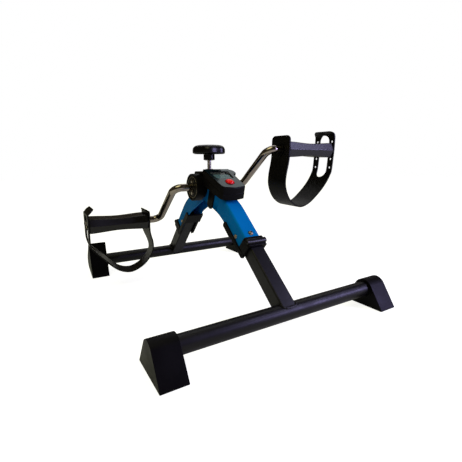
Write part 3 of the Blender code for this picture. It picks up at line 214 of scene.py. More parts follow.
class Effects:
    """The node groups that more than one finish uses, each built once."""

    @staticmethod
    def start(name: str, inputs: dict[str, float],
              *outputs: str) -> tuple[Graph, bpy.types.bpy_prop_collection, bpy.types.Node]:
        """Starts a group.

        Args:
            name: The group's name.
            inputs: Its inputs and their defaults.
            outputs: Its outputs, all values.

        Returns:
            Its graph, the sources of its inputs and its output node.
        """
        tree = bpy.data.node_groups.new(name, "ShaderNodeTree")
        for label, default in inputs.items():
            socket = tree.interface.new_socket(label, in_out="INPUT", socket_type="NodeSocketFloat")
            socket.default_value = default
        for label in outputs:
            tree.interface.new_socket(label, in_out="OUTPUT", socket_type="NodeSocketFloat")
        graph = Graph(tree)
        return graph, graph.add("NodeGroupInput").outputs, graph.add("NodeGroupOutput")

    @staticmethod
    @cache
    def edge_wear_and_highlight() -> bpy.types.NodeTree:
        """A mask of the edges, broken up where hands and feet rub them; the finishes lighten it, as rubbing and as
        a painted edge highlight.
        """
        graph, given, result = Effects.start("edge_wear_and_highlight", {"Radius": 0.001, "Scale": 90.0, "Amount": 0.5}, "Mask")
        rounded = graph.feed(graph.add("Bevel", samples=4), Radius=given["Radius"]).outputs["Normal"]
        flat = graph.add("NewGeometry").outputs["Normal"]
        turn = graph.feed(graph.add("VectorMath", operation="DOT_PRODUCT"), rounded, flat)
        edge = graph.spread(turn.outputs["Value"], 0.995, 0.90)
        patches = graph.noise(graph.place(), given["Scale"], 5.0)
        broken = graph.maths("MULTIPLY", edge, graph.spread(patches, 0.35, 0.62, 0.15))
        graph.feed(result, Mask=graph.maths("MULTIPLY", broken, given["Amount"], True))
        return graph.tree

    @staticmethod
    @cache
    def moulded_grain() -> bpy.types.NodeTree:
        """Fine spark-eroded grain, and slow clouds for tint and gloss."""
        inputs = {"Scale": 1500.0, "Cloud Scale": 25.0}
        graph, given, result = Effects.start("moulded_grain", inputs, "Height", "Cloud")
        place = graph.place()
        pits = graph.feed(graph.add("TexVoronoi", feature="SMOOTH_F1"), Vector=place, Scale=given["Scale"])
        height = graph.maths("ADD", pits.outputs["Distance"], graph.noise(place, given["Scale"], 2.0))
        graph.feed(result, Height=height, Cloud=graph.noise(place, given["Cloud Scale"], 4.0))
        return graph.tree

    @staticmethod
    @cache
    def fine_scratches() -> bpy.types.NodeTree:
        """Thin straight scratches and wiped smudges."""
        graph, given, result = Effects.start("fine_scratches", {"Scale": 60.0}, "Lines", "Smudge")
        lines = graph.noise(graph.place((1.0, 14.0, 14.0)), given["Scale"], 3.0)
        smudge = graph.noise(graph.place(), graph.maths("MULTIPLY", given["Scale"], 0.5), 5.0)
        graph.feed(result, Lines=graph.spread(lines, 0.60, 0.72), Smudge=graph.spread(smudge, 0.35, 0.70))
        return graph.tree


# Finishes


@dataclass(frozen=True)
class Finish:
    """A finish with a plain Principled shader, which the others build on."""

    slot: str
    colour: Colour
    roughness: float
    specular: float = 0.5
    metallic: float = 0.0
    tint: Colour = WHITE

    @cache
    def material(self) -> bpy.types.Material:
        """The finish's material, built the first time it is asked for."""
        material = bpy.data.materials.new("look_" + self.slot)
        graph = Graph.emptied(material)
        shader = graph.feed(graph.add("BsdfPrincipled"), Base_Color=self.colour, Roughness=self.roughness,
                            Specular_IOR_Level=self.specular, Specular_Tint=self.tint, Metallic=self.metallic)
        graph.feed(graph.add("OutputMaterial"), Surface=shader.outputs["BSDF"])
        self.dress(graph, shader)
        material.diffuse_color = (*self.colour, 1.0)
        return material

    def dress(self, graph: Graph, shader: bpy.types.Node) -> None:
        """Adds the finish's own detail to its shader."""

    def shade(self, share: float) -> Colour:
        """The colour made lighter or darker by a share."""
        return tuple(min(1.0, channel * share) for channel in self.colour)

    def gloss(self, graph: Graph, source: bpy.types.NodeSocket, spans: Span, shares: Span) -> bpy.types.NodeSocket:
        """The roughness, spread between two shares of itself over a source's range."""
        return graph.spread(source, *spans, *(self.roughness * share for share in shares))


@dataclass(frozen=True)
class SprayPaint(Finish):
    """Stoved paint on pressed steel, with orange peel and rubbed edges painted lighter, partly as a painted
    highlight.
    """

    peel_scale: float = 320.0
    peel_depth: float = 0.00012
    # Rubbed-edge colour, lighter than the paint: worn paint and a painted edge highlight.
    edge: Colour = (0.2, 0.2, 0.2)
    wear: float = 0.25

    def dress(self, graph: Graph, shader: bpy.types.Node) -> None:
        """Adds peel, slow tint, smudges and rubbed edges painted lighter, partly as a painted highlight."""
        grain = graph.group(Effects.moulded_grain(), Scale=self.peel_scale, Cloud_Scale=14.0)
        marks = graph.group(Effects.fine_scratches(), Scale=70.0)
        wear = graph.group(Effects.edge_wear_and_highlight(), Radius=0.0009, Scale=120.0, Amount=self.wear)
        paint = graph.blend(graph.spread(grain["Cloud"], 0.3, 0.7), self.shade(0.90), self.shade(1.08))
        graph.feed(shader, Base_Color=graph.blend(wear["Mask"], paint, self.edge),
                   Roughness=self.gloss(graph, marks["Smudge"], (0.0, 1.0), (0.9, 1.25)),
                   Normal=graph.bump(grain["Height"], 0.25, self.peel_depth))


@dataclass(frozen=True)
class MouldedPlastic(Finish):
    """Moulded plastic with a fine grain, worn smooth along its edges and painted paler there, partly as a painted
    highlight.
    """

    grain_scale: float = 1600.0
    grain_depth: float = 0.00006
    wear: float = 0.35
    edge_wear_and_highlight_share: float = 3.0

    def dress(self, graph: Graph, shader: bpy.types.Node) -> None:
        """Adds grain, cloudy gloss and worn edges painted paler, partly as a painted highlight."""
        grain = graph.group(Effects.moulded_grain(), Scale=self.grain_scale, Cloud_Scale=30.0)
        wear = graph.group(Effects.edge_wear_and_highlight(), Radius=0.0008, Scale=150.0, Amount=self.wear)
        cloud = graph.spread(grain["Cloud"], 0.3, 0.7)
        body = graph.blend(cloud, self.shade(0.85), self.shade(1.15))
        graph.feed(shader, Base_Color=graph.blend(wear["Mask"], body, self.shade(self.edge_wear_and_highlight_share)),
                   Roughness=self.gloss(graph, cloud, (0.0, 1.0), (0.88, 1.12)),
                   Normal=graph.bump(grain["Height"], 0.35, self.grain_depth))


@dataclass(frozen=True)
class BareMetal(Finish):
    """Plated or bare metal with fine scratches and finger marks."""

    scratch_scale: float = 60.0
    # Brown colour of the patches: tarnished metal, and on chrome a painted warm reflection.
    tarnish: Colour = (0.3, 0.25, 0.2)
    tarnish_share: float = 0.25

    def dress(self, graph: Graph, shader: bpy.types.Node) -> None:
        """Adds scratches, smudges and brown patches: tarnished metal, and on chrome a painted warm reflection."""
        marks = graph.group(Effects.fine_scratches(), Scale=self.scratch_scale)
        brown_share = graph.maths("MULTIPLY", marks["Smudge"], self.tarnish_share)
        rough = graph.maths("ADD", graph.maths("MULTIPLY", marks["Smudge"], 0.10), self.roughness)
        scratched = graph.maths("MULTIPLY", marks["Lines"], 0.12)
        graph.feed(shader, Base_Color=graph.blend(brown_share, self.colour, self.tarnish),
                   Roughness=graph.maths("ADD", rough, scratched, True),
                   Normal=graph.bump(marks["Lines"], 0.15, 0.00003))


@dataclass(frozen=True)
class StrapRubber(Finish):
    """Soft black strap with a fine leathery grain along its own length."""

    # Pale colour on the edges: bloomed rubber and a painted edge highlight.
    bloom_and_highlight: Colour = (0.012, 0.011, 0.010)

    def dress(self, graph: Graph, shader: bpy.types.Node) -> None:
        """Adds grain, faint stretch lines and pale bloomed edges, partly a painted edge highlight."""
        place = graph.place(on_uv=True)
        cells = graph.feed(graph.add("TexVoronoi", feature="DISTANCE_TO_EDGE"), Vector=place, Scale=900.0)
        creases = graph.spread(cells.outputs["Distance"], 0.0, 0.25)
        lines = graph.noise(graph.place((14.0, 1.0, 1.0), on_uv=True), 90.0, 3.0)
        height = graph.maths("ADD", creases, graph.maths("MULTIPLY", lines, 0.6))
        wear = graph.group(Effects.edge_wear_and_highlight(), Radius=0.0007, Scale=130.0, Amount=0.4)
        clouds = graph.spread(graph.noise(place, 30.0, 4.0), 0.35, 0.7, 0.0, 0.35)
        body = graph.blend(clouds, self.colour, self.shade(1.6))
        graph.feed(shader, Base_Color=graph.blend(wear["Mask"], body, self.bloom_and_highlight),
                   Roughness=self.gloss(graph, lines, (0.3, 0.7), (0.85, 1.15)),
                   Normal=graph.bump(height, 0.3, 0.00008))


@dataclass(frozen=True)
class LiquidCrystal(Finish):
    """Grey-green display, darker in slow clouds."""

    dark: Colour = (0.03, 0.055, 0.05)

    def dress(self, graph: Graph, shader: bpy.types.Node) -> None:
        """Adds the polariser's fine lines and a slow shade."""
        clouds = graph.noise(graph.place(), 40.0, 2.0)
        lines = graph.maths("MULTIPLY", graph.noise(graph.place((1.0, 60.0, 1.0)), 90.0, 1.0), 0.25)
        share = graph.spread(graph.maths("ADD", clouds, lines), 0.4, 0.9, 0.0, 0.45)
        graph.feed(shader, Base_Color=graph.blend(share, self.colour, self.dark),
                   Roughness=graph.spread(clouds, 0.3, 0.7, 0.15, 0.25))


@dataclass(frozen=True)
class ClearWindow(Finish):
    """Thin clear moulded window, through which the lamps still light the display."""

    def dress(self, graph: Graph, shader: bpy.types.Node) -> None:
        """Makes the shader see-through, with faint wipe marks."""
        marks = graph.group(Effects.fine_scratches(), Scale=80.0)
        graph.feed(shader, Alpha=0.15, Roughness=graph.spread(marks["Smudge"], 0.0, 1.0, 0.02, 0.06))


@dataclass(frozen=True)
class PressedFelt(Finish):
    """Pressed felt of the brake pad."""

    def dress(self, graph: Graph, shader: bpy.types.Node) -> None:
        """Adds matted fibres."""
        fibres = graph.noise(graph.place((1.0, 4.0, 1.0)), 900.0, 6.0)
        graph.feed(shader, Base_Color=graph.blend(fibres, self.shade(0.6), self.shade(1.4)),
                   Normal=graph.bump(fibres, 0.8, 0.0003))


@dataclass(frozen=True)
class PrintedBoard(Finish):
    """Green circuit board with plain copper tracks under its lacquer."""

    track: Colour = (0.03, 0.22, 0.08)

    def dress(self, graph: Graph, shader: bpy.types.Node) -> None:
        """Adds the tracks."""
        bricks = graph.feed(graph.add("TexBrick", offset=0.37, squash=0.7), Vector=graph.place(), Scale=180.0,
                            Mortar_Size=0.03)
        mortar = bricks.outputs["Fac"]
        graph.feed(shader, Base_Color=graph.blend(mortar, self.colour, self.track),
                   Roughness=graph.spread(mortar, 0.0, 1.0, 0.35, 0.5))


# The lighter edge colours and shares below mark rubbed edges and also paint an edge highlight.
BLUE_PAINT = SprayPaint("blue_paint", (0.0, 0.125, 0.44), 0.42, 0.04, tint=(0.1, 0.7, 1.0),
                        edge=(0.02, 0.26, 0.50), wear=0.35)
BLACK_PAINT = SprayPaint("black_paint", (0.0016, 0.0012, 0.0020), 0.38, 0.28, edge=(0.018, 0.016, 0.016))
BLACK_PLASTIC = MouldedPlastic("black_plastic", (0.0016, 0.0012, 0.0018), 0.42, 0.10, wear=0.25)
PEDAL_PLASTIC = MouldedPlastic("black_plastic", (0.0016, 0.0012, 0.0018), 0.34, 0.45, wear=0.25)
GLOSS_BLACK = MouldedPlastic("gloss_black", (0.0015, 0.0012, 0.0018), 0.27, 0.30, grain_depth=0.000004, wear=0.0)
# Chrome gets a darker, warm base and brown patches: painted reflection of dark, warm surroundings.
CHROME = BareMetal("chrome", (0.37, 0.325, 0.28), 0.08, metallic=1.0, tarnish=(0.26, 0.19, 0.13))
STEEL = BareMetal("steel", (0.78, 0.74, 0.70), 0.32, metallic=1.0, scratch_scale=110.0)
BRASSY_STEEL = BareMetal("brassy_steel", (0.42, 0.35, 0.25), 0.26, metallic=1.0, tarnish=(0.22, 0.16, 0.09))
STRAP = StrapRubber("strap_rubber", (0.0018, 0.0015, 0.0013), 0.40, 0.15)
# The console face's teal specular tint is a painted teal reflection; its own base is nearly black.
CONSOLE_GREY = MouldedPlastic("console_grey", (0.002, 0.006, 0.008), 0.20, 0.36, tint=(0.50, 0.92, 1.0),
                              grain_depth=0.000008, edge_wear_and_highlight_share=1.6)
RED_PLASTIC = MouldedPlastic("red_plastic", (0.66, 0.002, 0.006), 0.22, 0.3, grain_depth=0.00001, edge_wear_and_highlight_share=1.0)
CLEAR_PLASTIC = ClearWindow("clear_plastic", (0.10, 0.12, 0.12), 0.03)
DISPLAY = LiquidCrystal("display_glass", (0.07, 0.16, 0.19), 0.35, 0.05)
BOARD = PrintedBoard("board_green", (0.01, 0.12, 0.045), 0.45)
FELT = PressedFelt("brake_felt", (0.10, 0.08, 0.06), 0.95)
FINISHES = (BLUE_PAINT, BLACK_PAINT, BLACK_PLASTIC, GLOSS_BLACK, CHROME, STEEL, BRASSY_STEEL, STRAP, CONSOLE_GREY,
            RED_PLASTIC, CLEAR_PLASTIC, DISPLAY, BOARD, FELT)


# Shapes


class Shape:
    """A mesh that grows by bmesh operators. Its end is the set of faces that the next push moves on."""

    def __init__(self) -> None:
        """Starts with an empty mesh."""
        self.bm = bmesh.new()
        self.end: list[bmesh.types.BMFace] = []

    @classmethod
    def plate(cls, corners: Sequence[Corner], segments: int = 5) -> "Shape":
        """A flat face in XY.

        Args:
            corners: The (x, y, radius) of each corner.
            segments: How many segments each rounded corner has.

        Returns:
            The shape, whose end is the face.
        """
        shape = cls()
        shape.bm.faces.new([shape.bm.verts.new((x, y, 0.0)) for x, y, _ in corners])
        for index, (x, y, radius) in enumerate(corners):
            if radius > 0:
                here = Vector((x, y))
                before = Vector(corners[index - 1][:2]) - here
                after = Vector(corners[(index + 1) % len(corners)][:2]) - here
                found = [v for v in shape.bm.verts if (v.co.xy - here).length < TINY]
                bmesh.ops.bevel(shape.bm, geom=found, offset=radius / tan(before.angle(after) / 2),
                                offset_type="OFFSET", segments=segments, profile=0.5, material=-1,
                                affect="VERTICES")
        shape.end = list(shape.bm.faces)
        return shape

    @classmethod
    def disc(cls, radius: float, segments: int) -> "Shape":
        """A round flat face in XY, which is also the shape's end."""
        shape = cls()
        bmesh.ops.create_circle(shape.bm, cap_ends=True, segments=segments, radius=radius)
        shape.end = list(shape.bm.faces)
        return shape

    @classmethod
    def rod(cls, radius: float, length: float, segments: int = 64) -> "Shape":
        """A closed round block that stands on XY."""
        return cls.disc(radius, segments).push((0, 0, length)).closed()

    @classmethod
    def turned(cls, corners: Sequence[Corner], steps: int = 48, segments: int = 3) -> "Shape":
        """Spins a profile about X.

        Args:
            corners: The (along, radius, rounding) of each corner of the closed profile.
            steps: How many steps the turn has.
            segments: How many segments each rounded corner has.

        Returns:
            The closed shape.
        """
        shape = cls.plate(corners, segments)
        bmesh.ops.delete(shape.bm, geom=list(shape.bm.faces), context="FACES_ONLY")
        spun = [e for e in shape.bm.edges if max(v.co.y for v in e.verts) > TINY]
        verts = list(dict.fromkeys(v for e in spun for v in e.verts))
        bmesh.ops.spin(shape.bm, geom=verts + spun, cent=(0, 0, 0), axis=(1, 0, 0), angle=2 * pi, steps=steps,
                       use_merge=True)
        loose = [e for e in shape.bm.edges if not e.link_faces]
        bmesh.ops.delete(shape.bm, geom=loose, context="EDGES")
        return shape.closed()

    @classmethod
    def of_node(cls, node: str) -> "Shape":
        """A merged copy of a CAD node's mesh, with its flat faces whole again."""
        shape = cls()
        shape.bm.from_mesh(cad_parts[node].data)
        bmesh.ops.remove_doubles(shape.bm, verts=shape.bm.verts, dist=1e-6)
        bmesh.ops.dissolve_limit(shape.bm, angle_limit=radians(0.5), verts=shape.bm.verts, edges=shape.bm.edges)
        return shape

    def closed(self) -> "Shape":
        """Merges doubled points and turns the faces outwards."""
        bmesh.ops.remove_doubles(self.bm, verts=self.bm.verts, dist=TINY)
        bmesh.ops.recalc_face_normals(self.bm, faces=self.bm.faces)
        return self

    def push(self, vector: Sequence[float]) -> "Shape":
        """Extrudes the end along a vector."""
        grown = bmesh.ops.extrude_face_region(self.bm, geom=self.end)["geom"]
        moved = [item for item in grown if isinstance(item, bmesh.types.BMVert)]
        bmesh.ops.translate(self.bm, verts=moved, vec=vector)
        self.end = [item for item in grown if isinstance(item, bmesh.types.BMFace)]
        return self

    def swing(self, centre: Sequence[float], axis: Sequence[float], angle: float, steps: int) -> "Shape":
        """Extrudes the end round an arc.

        Args:
            centre: A point on the arc's axis.
            axis: The axis.
            angle: The arc's angle.
            steps: How many steps it has.

        Returns:
            The same shape.
        """
        geom = list(self.end) + [e for f in self.end for e in f.edges] + [v for f in self.end for v in f.verts]
        last = bmesh.ops.spin(self.bm, geom=list(dict.fromkeys(geom)), cent=centre, axis=axis, angle=angle,
                              steps=steps, use_merge=False)["geom_last"]
        self.end = [item for item in last if isinstance(item, bmesh.types.BMFace)]
        return self

    def slice(self, point: Sequence[float], normal: Sequence[float], cut_off: bool = False) -> "Shape":
        """Cuts all faces at a plane.

        Args:
            point: A point of the plane.
            normal: Its normal.
            cut_off: Whether what lies beyond it goes, and the hole is closed.

        Returns:
            The same shape.
        """
        geom = [*self.bm.verts, *self.bm.edges, *self.bm.faces]
        cut = bmesh.ops.bisect_plane(self.bm, geom=geom, dist=TINY, plane_co=point, plane_no=normal,
                                     clear_outer=cut_off)
        if cut_off:
            rim = [item for item in cut["geom_cut"] if isinstance(item, bmesh.types.BMEdge)]
            bmesh.ops.holes_fill(self.bm, edges=rim)
        return self

    def bevel(self, width: float, segments: int = 3, where: Optional[EdgeTest] = None) -> "Shape":
        """Rounds edges.

        Args:
            width: The rounding.
            segments: How many segments it has.
            where: Says which edges, or None for every sharp outer edge.

        Returns:
            The same shape.
        """
        self.bm.normal_update()
        chosen = [e for e in self.bm.edges if (where or self.is_outer)(e)]
        bmesh.ops.bevel(self.bm, geom=chosen, offset=width, offset_type="OFFSET", segments=segments, profile=0.5,
                        affect="EDGES", clamp_overlap=True, material=-1)
        return self

    @staticmethod
    def is_outer(edge: bmesh.types.BMEdge, least: float = radians(35)) -> bool:
        """Whether an edge stands outwards, sharper than an angle."""
        return len(edge.link_faces) == 2 and edge.calc_face_angle_signed(0.0) > least

    def shaped(self, move: Callable[[Vector], Sequence[float]]) -> "Shape":
        """Moves every vertex by a rule."""
        for vert in self.bm.verts:
            vert.co = move(vert.co)
        return self

    def placed(self, *steps: Matrix) -> "Shape":
        """Applies transforms, the first one last, and mends the normals of a mirrored shape."""
        matrix = Matrix.Identity(4)
        for step in steps:
            matrix = matrix @ step
        bmesh.ops.transform(self.bm, matrix=matrix, verts=self.bm.verts)
        if matrix.determinant() < 0:
            bmesh.ops.reverse_faces(self.bm, faces=self.bm.faces)
        return self

    def mesh(self, name: str) -> bpy.types.Mesh:
        """A new mesh of the shape."""
        mesh = bpy.data.meshes.new(name)
        self.bm.to_mesh(mesh)
        return mesh

    def join(self, *others: "Shape") -> "Shape":
        """Adds other shapes' faces to this one."""
        for other in others:
            mesh = other.mesh("joined")
            self.bm.from_mesh(mesh)
            bpy.data.meshes.remove(mesh)
        return self

    def combine(self, tool: "Shape", operation: str = "DIFFERENCE") -> "Shape":
        """Cuts another closed shape out of this one, or joins it on.

        Args:
            tool: The other shape.
            operation: The Boolean operation.

        Returns:
            The same shape.
        """
        pair = []
        for shape in (self, tool):
            bmesh.ops.recalc_face_normals(shape.bm, faces=shape.bm.faces)
            pair.append(stand("carving", shape.mesh("carving")))
        modifier = pair[0].modifiers.new("carve", "BOOLEAN")
        modifier.operation, modifier.solver, modifier.object = operation, "EXACT", pair[1]
        carved = settled(pair[0])
        self.bm.clear()
        self.bm.from_mesh(carved)
        for mesh in (pair[0].data, pair[1].data, carved):
            bpy.data.meshes.remove(mesh)
        return self

    def piece(self, name: str, finish: Finish, body: str, *replaced: str, angle: float = 32.0) -> bpy.types.Object:
        """Makes the shape a piece of the exerciser.

        Args:
            name: The piece's name.
            finish: Its finish.
            body: The CAD body that it rides on.
            replaced: The CAD nodes that it stands for.
            angle: The angle in degrees past which an edge stays sharp.

        Returns:
            The new object.
        """
        mesh = self.mesh(name)
        self.bm.free()
        mesh.materials.append(finish.material())
        mesh.shade_smooth()
        mesh.set_sharp_from_angle(angle=radians(angle))
        item = stand(name, mesh)
        item.modifiers.new("flat_faces", "WEIGHTED_NORMAL").keep_sharp = True
        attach(item, body)
        if replaced:
            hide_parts(*replaced)
        log.info("piece %s on %s, %d faces", name, body, len(mesh.polygons))
        return item


# Where things stand


@dataclass(frozen=True)
class Leg:
    """One folding leg's own sizes. Its frame looks from its bar towards the hub."""

    name: str
    turn: float
    slope: float
    length: float
    hub_reach: float
    drop: float
    bar_spread: float = 0.2108
    bar_height: float = 0.0284
    pin_drop: float = 0.004

    @property
    def body(self) -> str:
        """The CAD body that folds with this leg."""
        return self.name + "_leg_assembly"

    def side(self) -> Matrix:
        """The frame whose +Y runs from this leg's bar towards the hub."""
        return Matrix.Rotation(self.turn, 4, "Z")

    def bar(self) -> Matrix:
        """The frame in the middle of the base bar."""
        return self.side() @ at(0, -self.bar_spread, self.bar_height)

    def hinge(self) -> Matrix:
        """The frame on the hinge pin: Y runs up the leg, Z out of its upper face."""
        y = -self.bar_spread + self.length * cos(self.slope) + self.pin_drop * sin(self.slope)
        z = self.bar_height + self.length * sin(self.slope) - self.pin_drop * cos(self.slope)
        return self.side() @ at(0, y, z) @ Matrix.Rotation(self.slope, 4, "X")


HUB_Y, HUB_Z = 0.0191, 0.194
ARM_BEND = radians(20)
FRONT = Leg("front", 0.0, radians(40.62), 0.1445, HUB_Y, 0.0048)
REAR = Leg("rear", pi, radians(46.10), 0.1220, -HUB_Y, 0.0072)
HUB = at(0, HUB_Y, HUB_Z)
ARM_RUN = HUB @ Matrix.Rotation(FRONT.slope - ARM_BEND, 4, "X")
CONSOLE = ARM_RUN @ at(0, -0.0117, 0.0401) @ Matrix.Rotation(radians(3.1), 4, "X")


@dataclass
class BaseBar:
    """Round base tube of one leg, with the bead that welds the leg to it."""

    leg: Leg
    radius: float = 0.0125
    wall: float = 0.0015
    half_length: float = 0.1974
    leg_half: float = 0.0125
    bead: float = 0.0014
    ripples: int = 24
    ripple_depth: float = 0.16
    squareness: float = 0.22

    def build(self) -> None:
        """Builds the tube and its weld bead."""
        inner, half = self.radius - self.wall, self.half_length
        tube = Shape.turned([(-half, inner, 0), (-half, self.radius, GAP), (half, self.radius, GAP),
                             (half, inner, 0)], 96)
        tube.placed(self.leg.bar()).piece(f"{self.leg.name}_bar_tube", BLACK_PAINT, self.leg.body,
                                          f"{self.leg.name}_base_bar")
        self.weld()

    def weld(self) -> None:
        """Lays a rippled bead where the leg's mitre meets the tube."""
        curve = bpy.data.curves.new(f"{self.leg.name}_leg_weld", "CURVE")
        curve.dimensions = "3D"
        curve.bevel_depth = self.bead
        curve.bevel_resolution = 3
        spline = curve.splines.new("POLY")
        spline.use_cyclic_u = True
        steps = 96
        spline.points.add(steps - 1)
        place = self.leg.hinge() @ at(0, -self.leg.length, self.leg.pin_drop)
        for k in range(steps):
            a = 2 * pi * k / steps
            x, n = self.square(a, self.leg_half + self.bead / 3)
            up = sqrt(max(0.0, (self.radius + self.bead / 3) ** 2 - n * n))
            spline.points[k].co = (*(place @ Vector((x, up, n))), 1.0)
            spline.points[k].radius = 1.0 + self.ripple_depth * sin(self.ripples * a)
        item = stand(curve.name, curve)
        mesh = settled(item)
        bpy.data.objects.remove(item)
        bead = Shape()
        bead.bm.from_mesh(mesh)
        bpy.data.meshes.remove(mesh)
        bead.closed().piece(f"{self.leg.name}_leg_weld", BLACK_PAINT, self.leg.body)

    def square(self, angle: float, half: float) -> Span:
        """A point on a square with soft corners, at an angle from its middle."""
        return tuple(copysign(half * abs(share) ** self.squareness, share) for share in (cos(angle), sin(angle)))


@dataclass
class EndCap:
    """Moulded foot on one end of a base bar: round over the bar and flat on the floor."""

    leg: Leg
    hand: Hand
    turn: float = 0.0
    length: float = 0.0343
    outer_end: float = 0.202
    crown: float = 0.017
    foot_half: float = 0.0385
    foot_corner: float = 0.0015
    edge: float = 0.002
    inner_edge: float = 0.0006
    socket: float = 0.030
    bar_radius: float = 0.0125
    rim: float = 0.0055
    side_rim: float = 0.002
    recess: float = 0.0022

    def build(self) -> None:
        """Builds the foot with its socket and the shallow recess in its sole."""
        height = self.leg.bar_height
        tangent = acos(self.crown / hypot(self.foot_half, height)) - atan2(height, self.foot_half)
        shoulder = self.crown * tan((pi / 2 - tangent) / 2)
        outline = [(-self.foot_half, -height, self.foot_corner), (self.foot_half, -height, self.foot_corner),
                   (shoulder, self.crown, self.crown * 0.999), (-shoulder, self.crown, self.crown * 0.999)]
        foot = Shape.plate(outline, 14).push((0, 0, self.length)).closed()
        foot.bevel(self.edge, 4, between(Z, low=self.length - GAP))
        foot.bevel(self.inner_edge, 2, between(Z, high=GAP))
        foot.combine(Shape.disc(self.bar_radius + GAP, 64).placed(at(0, 0, -GAP)).push((0, 0, self.socket)))
        reach, sole = self.foot_half - self.rim, -height - GAP
        recess = Shape.plate([(-reach, sole, 0), (reach, sole, 0), (reach - self.recess, self.recess - height, 0),
                              (self.recess - reach, self.recess - height, 0)])
        foot.combine(recess.placed(at(0, 0, self.side_rim)).push((0, 0, self.length - 2 * self.side_rim)))
        foot.placed(self.leg.bar(), Matrix.Rotation(self.turn, 4, "X"), self.hand.mirror(),
                    at(self.outer_end - self.length, 0, 0), ACROSS)
        # The rear leg's frame looks the other way, so its hands swap in the names.
        word = self.hand.word if self.leg is FRONT else Hand(-self.hand.value).word
        node = f"{self.leg.name}_{word}_end_cap"
        foot.piece(node.replace("end_cap", "foot"), BLACK_PLASTIC, self.leg.body, node)


@dataclass
class LegTube:
    """Square leg tube, mitred to its bar and rounded about its pin."""

    leg: Leg
    half: float = 0.0125
    wall: float = 0.0015
    corner: float = 0.0025
    bar_radius: float = 0.0125

    def build(self) -> None:
        """Builds the hollow tube and cuts both its ends."""
        drop, length, end = self.leg.pin_drop, self.leg.length, self.half + self.leg.pin_drop
        tube = self.square(self.half, self.corner).push((0, 0, -(length + end))).closed()
        tube.placed(at(0, -length, drop), UPRIGHT)
        bore = self.square(self.half - self.wall, self.wall / 2).push((0, 0, -2 * length)).closed()
        tube.combine(bore.placed(at(0, -length * 1.3, drop), UPRIGHT))
        wide = 2 * self.half
        bar = Shape.rod(self.bar_radius + GAP, 2 * wide)
        tube.combine(bar.placed(at(-wide, -length, drop), ACROSS))
        round_end = Shape.rod(end, 2 * wide).placed(at(-wide, 0, 0), ACROSS)
        run = Shape.plate([(-2 * length, -wide, 0), (0, -wide, 0), (0, wide, 0), (-2 * length, wide, 0)])
        run.push((0, 0, 2 * wide)).closed().placed(at(-wide, 0, 0), ACROSS)
        tube.combine(round_end.combine(run, "UNION"), "INTERSECT")
        tube.placed(self.leg.hinge()).piece(f"{self.leg.name}_leg_tube", BLACK_PAINT, self.leg.body,
                                            f"{self.leg.name}_leg")

    @staticmethod
    def square(half: float, corner: float) -> Shape:
        """A square face with rounded corners."""
        corners = [(-half, -half), (half, -half), (half, half), (-half, half)]
        return Shape.plate([(x, y, corner) for x, y in corners])


@dataclass
class FoldingArm:
    """Pressed channel that holds the leg's pin at one end and the hub at the other."""

    leg: Leg
    half: float = 0.015
    wall: float = 0.002
    web: float = 0.0153
    skirt: float = -0.016
    corner: float = 0.004
    edge: float = 0.0005
    bend_radius: float = 0.110
    mouth: float = 0.019
    hub_run: float = 0.09
    hub_seat: float = 0.0178
    film: float = 0.0003
    film_run: float = 0.031
    film_rise: float = 0.022

    def build(self) -> None:
        """Builds the channel up the leg, round its bend and on to the hub."""
        inner, under, inner_corner = self.half - self.wall, self.web - self.wall, self.corner - self.wall
        section = Shape.plate([
            (-self.half, self.skirt, 0), (-inner, self.skirt, 0), (-inner, under, inner_corner),
            (inner, under, inner_corner), (inner, self.skirt, 0), (self.half, self.skirt, 0),
            (self.half, self.web, self.corner), (-self.half, self.web, self.corner),
        ], 6)
        run = self.straight_run()
        section.push((0, 0, -run)).swing((0, -self.bend_radius, -run), (-1, 0, 0), ARM_BEND, 24)
        section.push(Vector((0, -sin(ARM_BEND), -cos(ARM_BEND))) * self.hub_run).closed()
        start = self.leg.length - self.mouth
        y = -self.leg.bar_spread + start * cos(self.leg.slope)
        z = self.leg.bar_height + start * sin(self.leg.slope)
        section.placed(at(0, y, z) @ Matrix.Rotation(self.leg.slope, 4, "X"), UPRIGHT)
        section.slice((0, self.leg.hub_reach - GAP / 2, 0), (0, 1, 0), True).closed()
        section.bevel(self.edge, 2, lambda e: Shape.is_outer(e, radians(60)))
        wide = 2 * self.half
        section.placed(self.leg.side())
        section.combine(Shape.rod(self.hub_seat, 2 * wide).placed(HUB, at(-wide, 0, 0), ACROSS))
        section.piece(f"{self.leg.name}_channel_arm", BLUE_PAINT, "frame", f"{self.leg.name}_arm")
        self.liner()

    def liner(self) -> None:
        """Lays a thin dark film over the inner faces and lower edges of the mouth, so they show black."""
        film, face, low = self.film, self.half - self.wall, self.skirt + self.leg.pin_drop
        inside = (face - film, low, film, self.film_rise)
        below = (face - film, low - film, self.half - face + film, film)
        film_sheets = Shape()
        for way in (-1, 1):
            for x, z, wide, high in (inside, below):
                strip = Shape.plate([(x, z, 0), (x + wide, z, 0), (x + wide, z + high, 0), (x, z + high, 0)])
                strip.push((0, 0, -self.film_run)).closed()
                film_sheets.join(strip.placed(Matrix.Diagonal((way, 1, 1, 1)), at(0, GAP - self.mouth, 0), UPRIGHT))
        film_sheets.placed(self.leg.hinge()).piece(f"{self.leg.name}_mouth_liner", BLACK_PLASTIC, "frame")

    def straight_run(self) -> float:
        """How far the channel runs straight from its mouth before its bend."""
        leg = self.leg
        first, last = (Vector((cos(slope), sin(slope))) for slope in (leg.slope, leg.slope - ARM_BEND))
        bar = Vector((-leg.bar_spread, leg.bar_height))
        hub = Vector((leg.hub_reach, HUB_Z)) - leg.drop * Vector((-last.y, last.x))
        corner = (hub - bar).cross(last) / first.cross(last)
        return corner - self.bend_radius * tan(ARM_BEND / 2) - leg.length + self.mouth


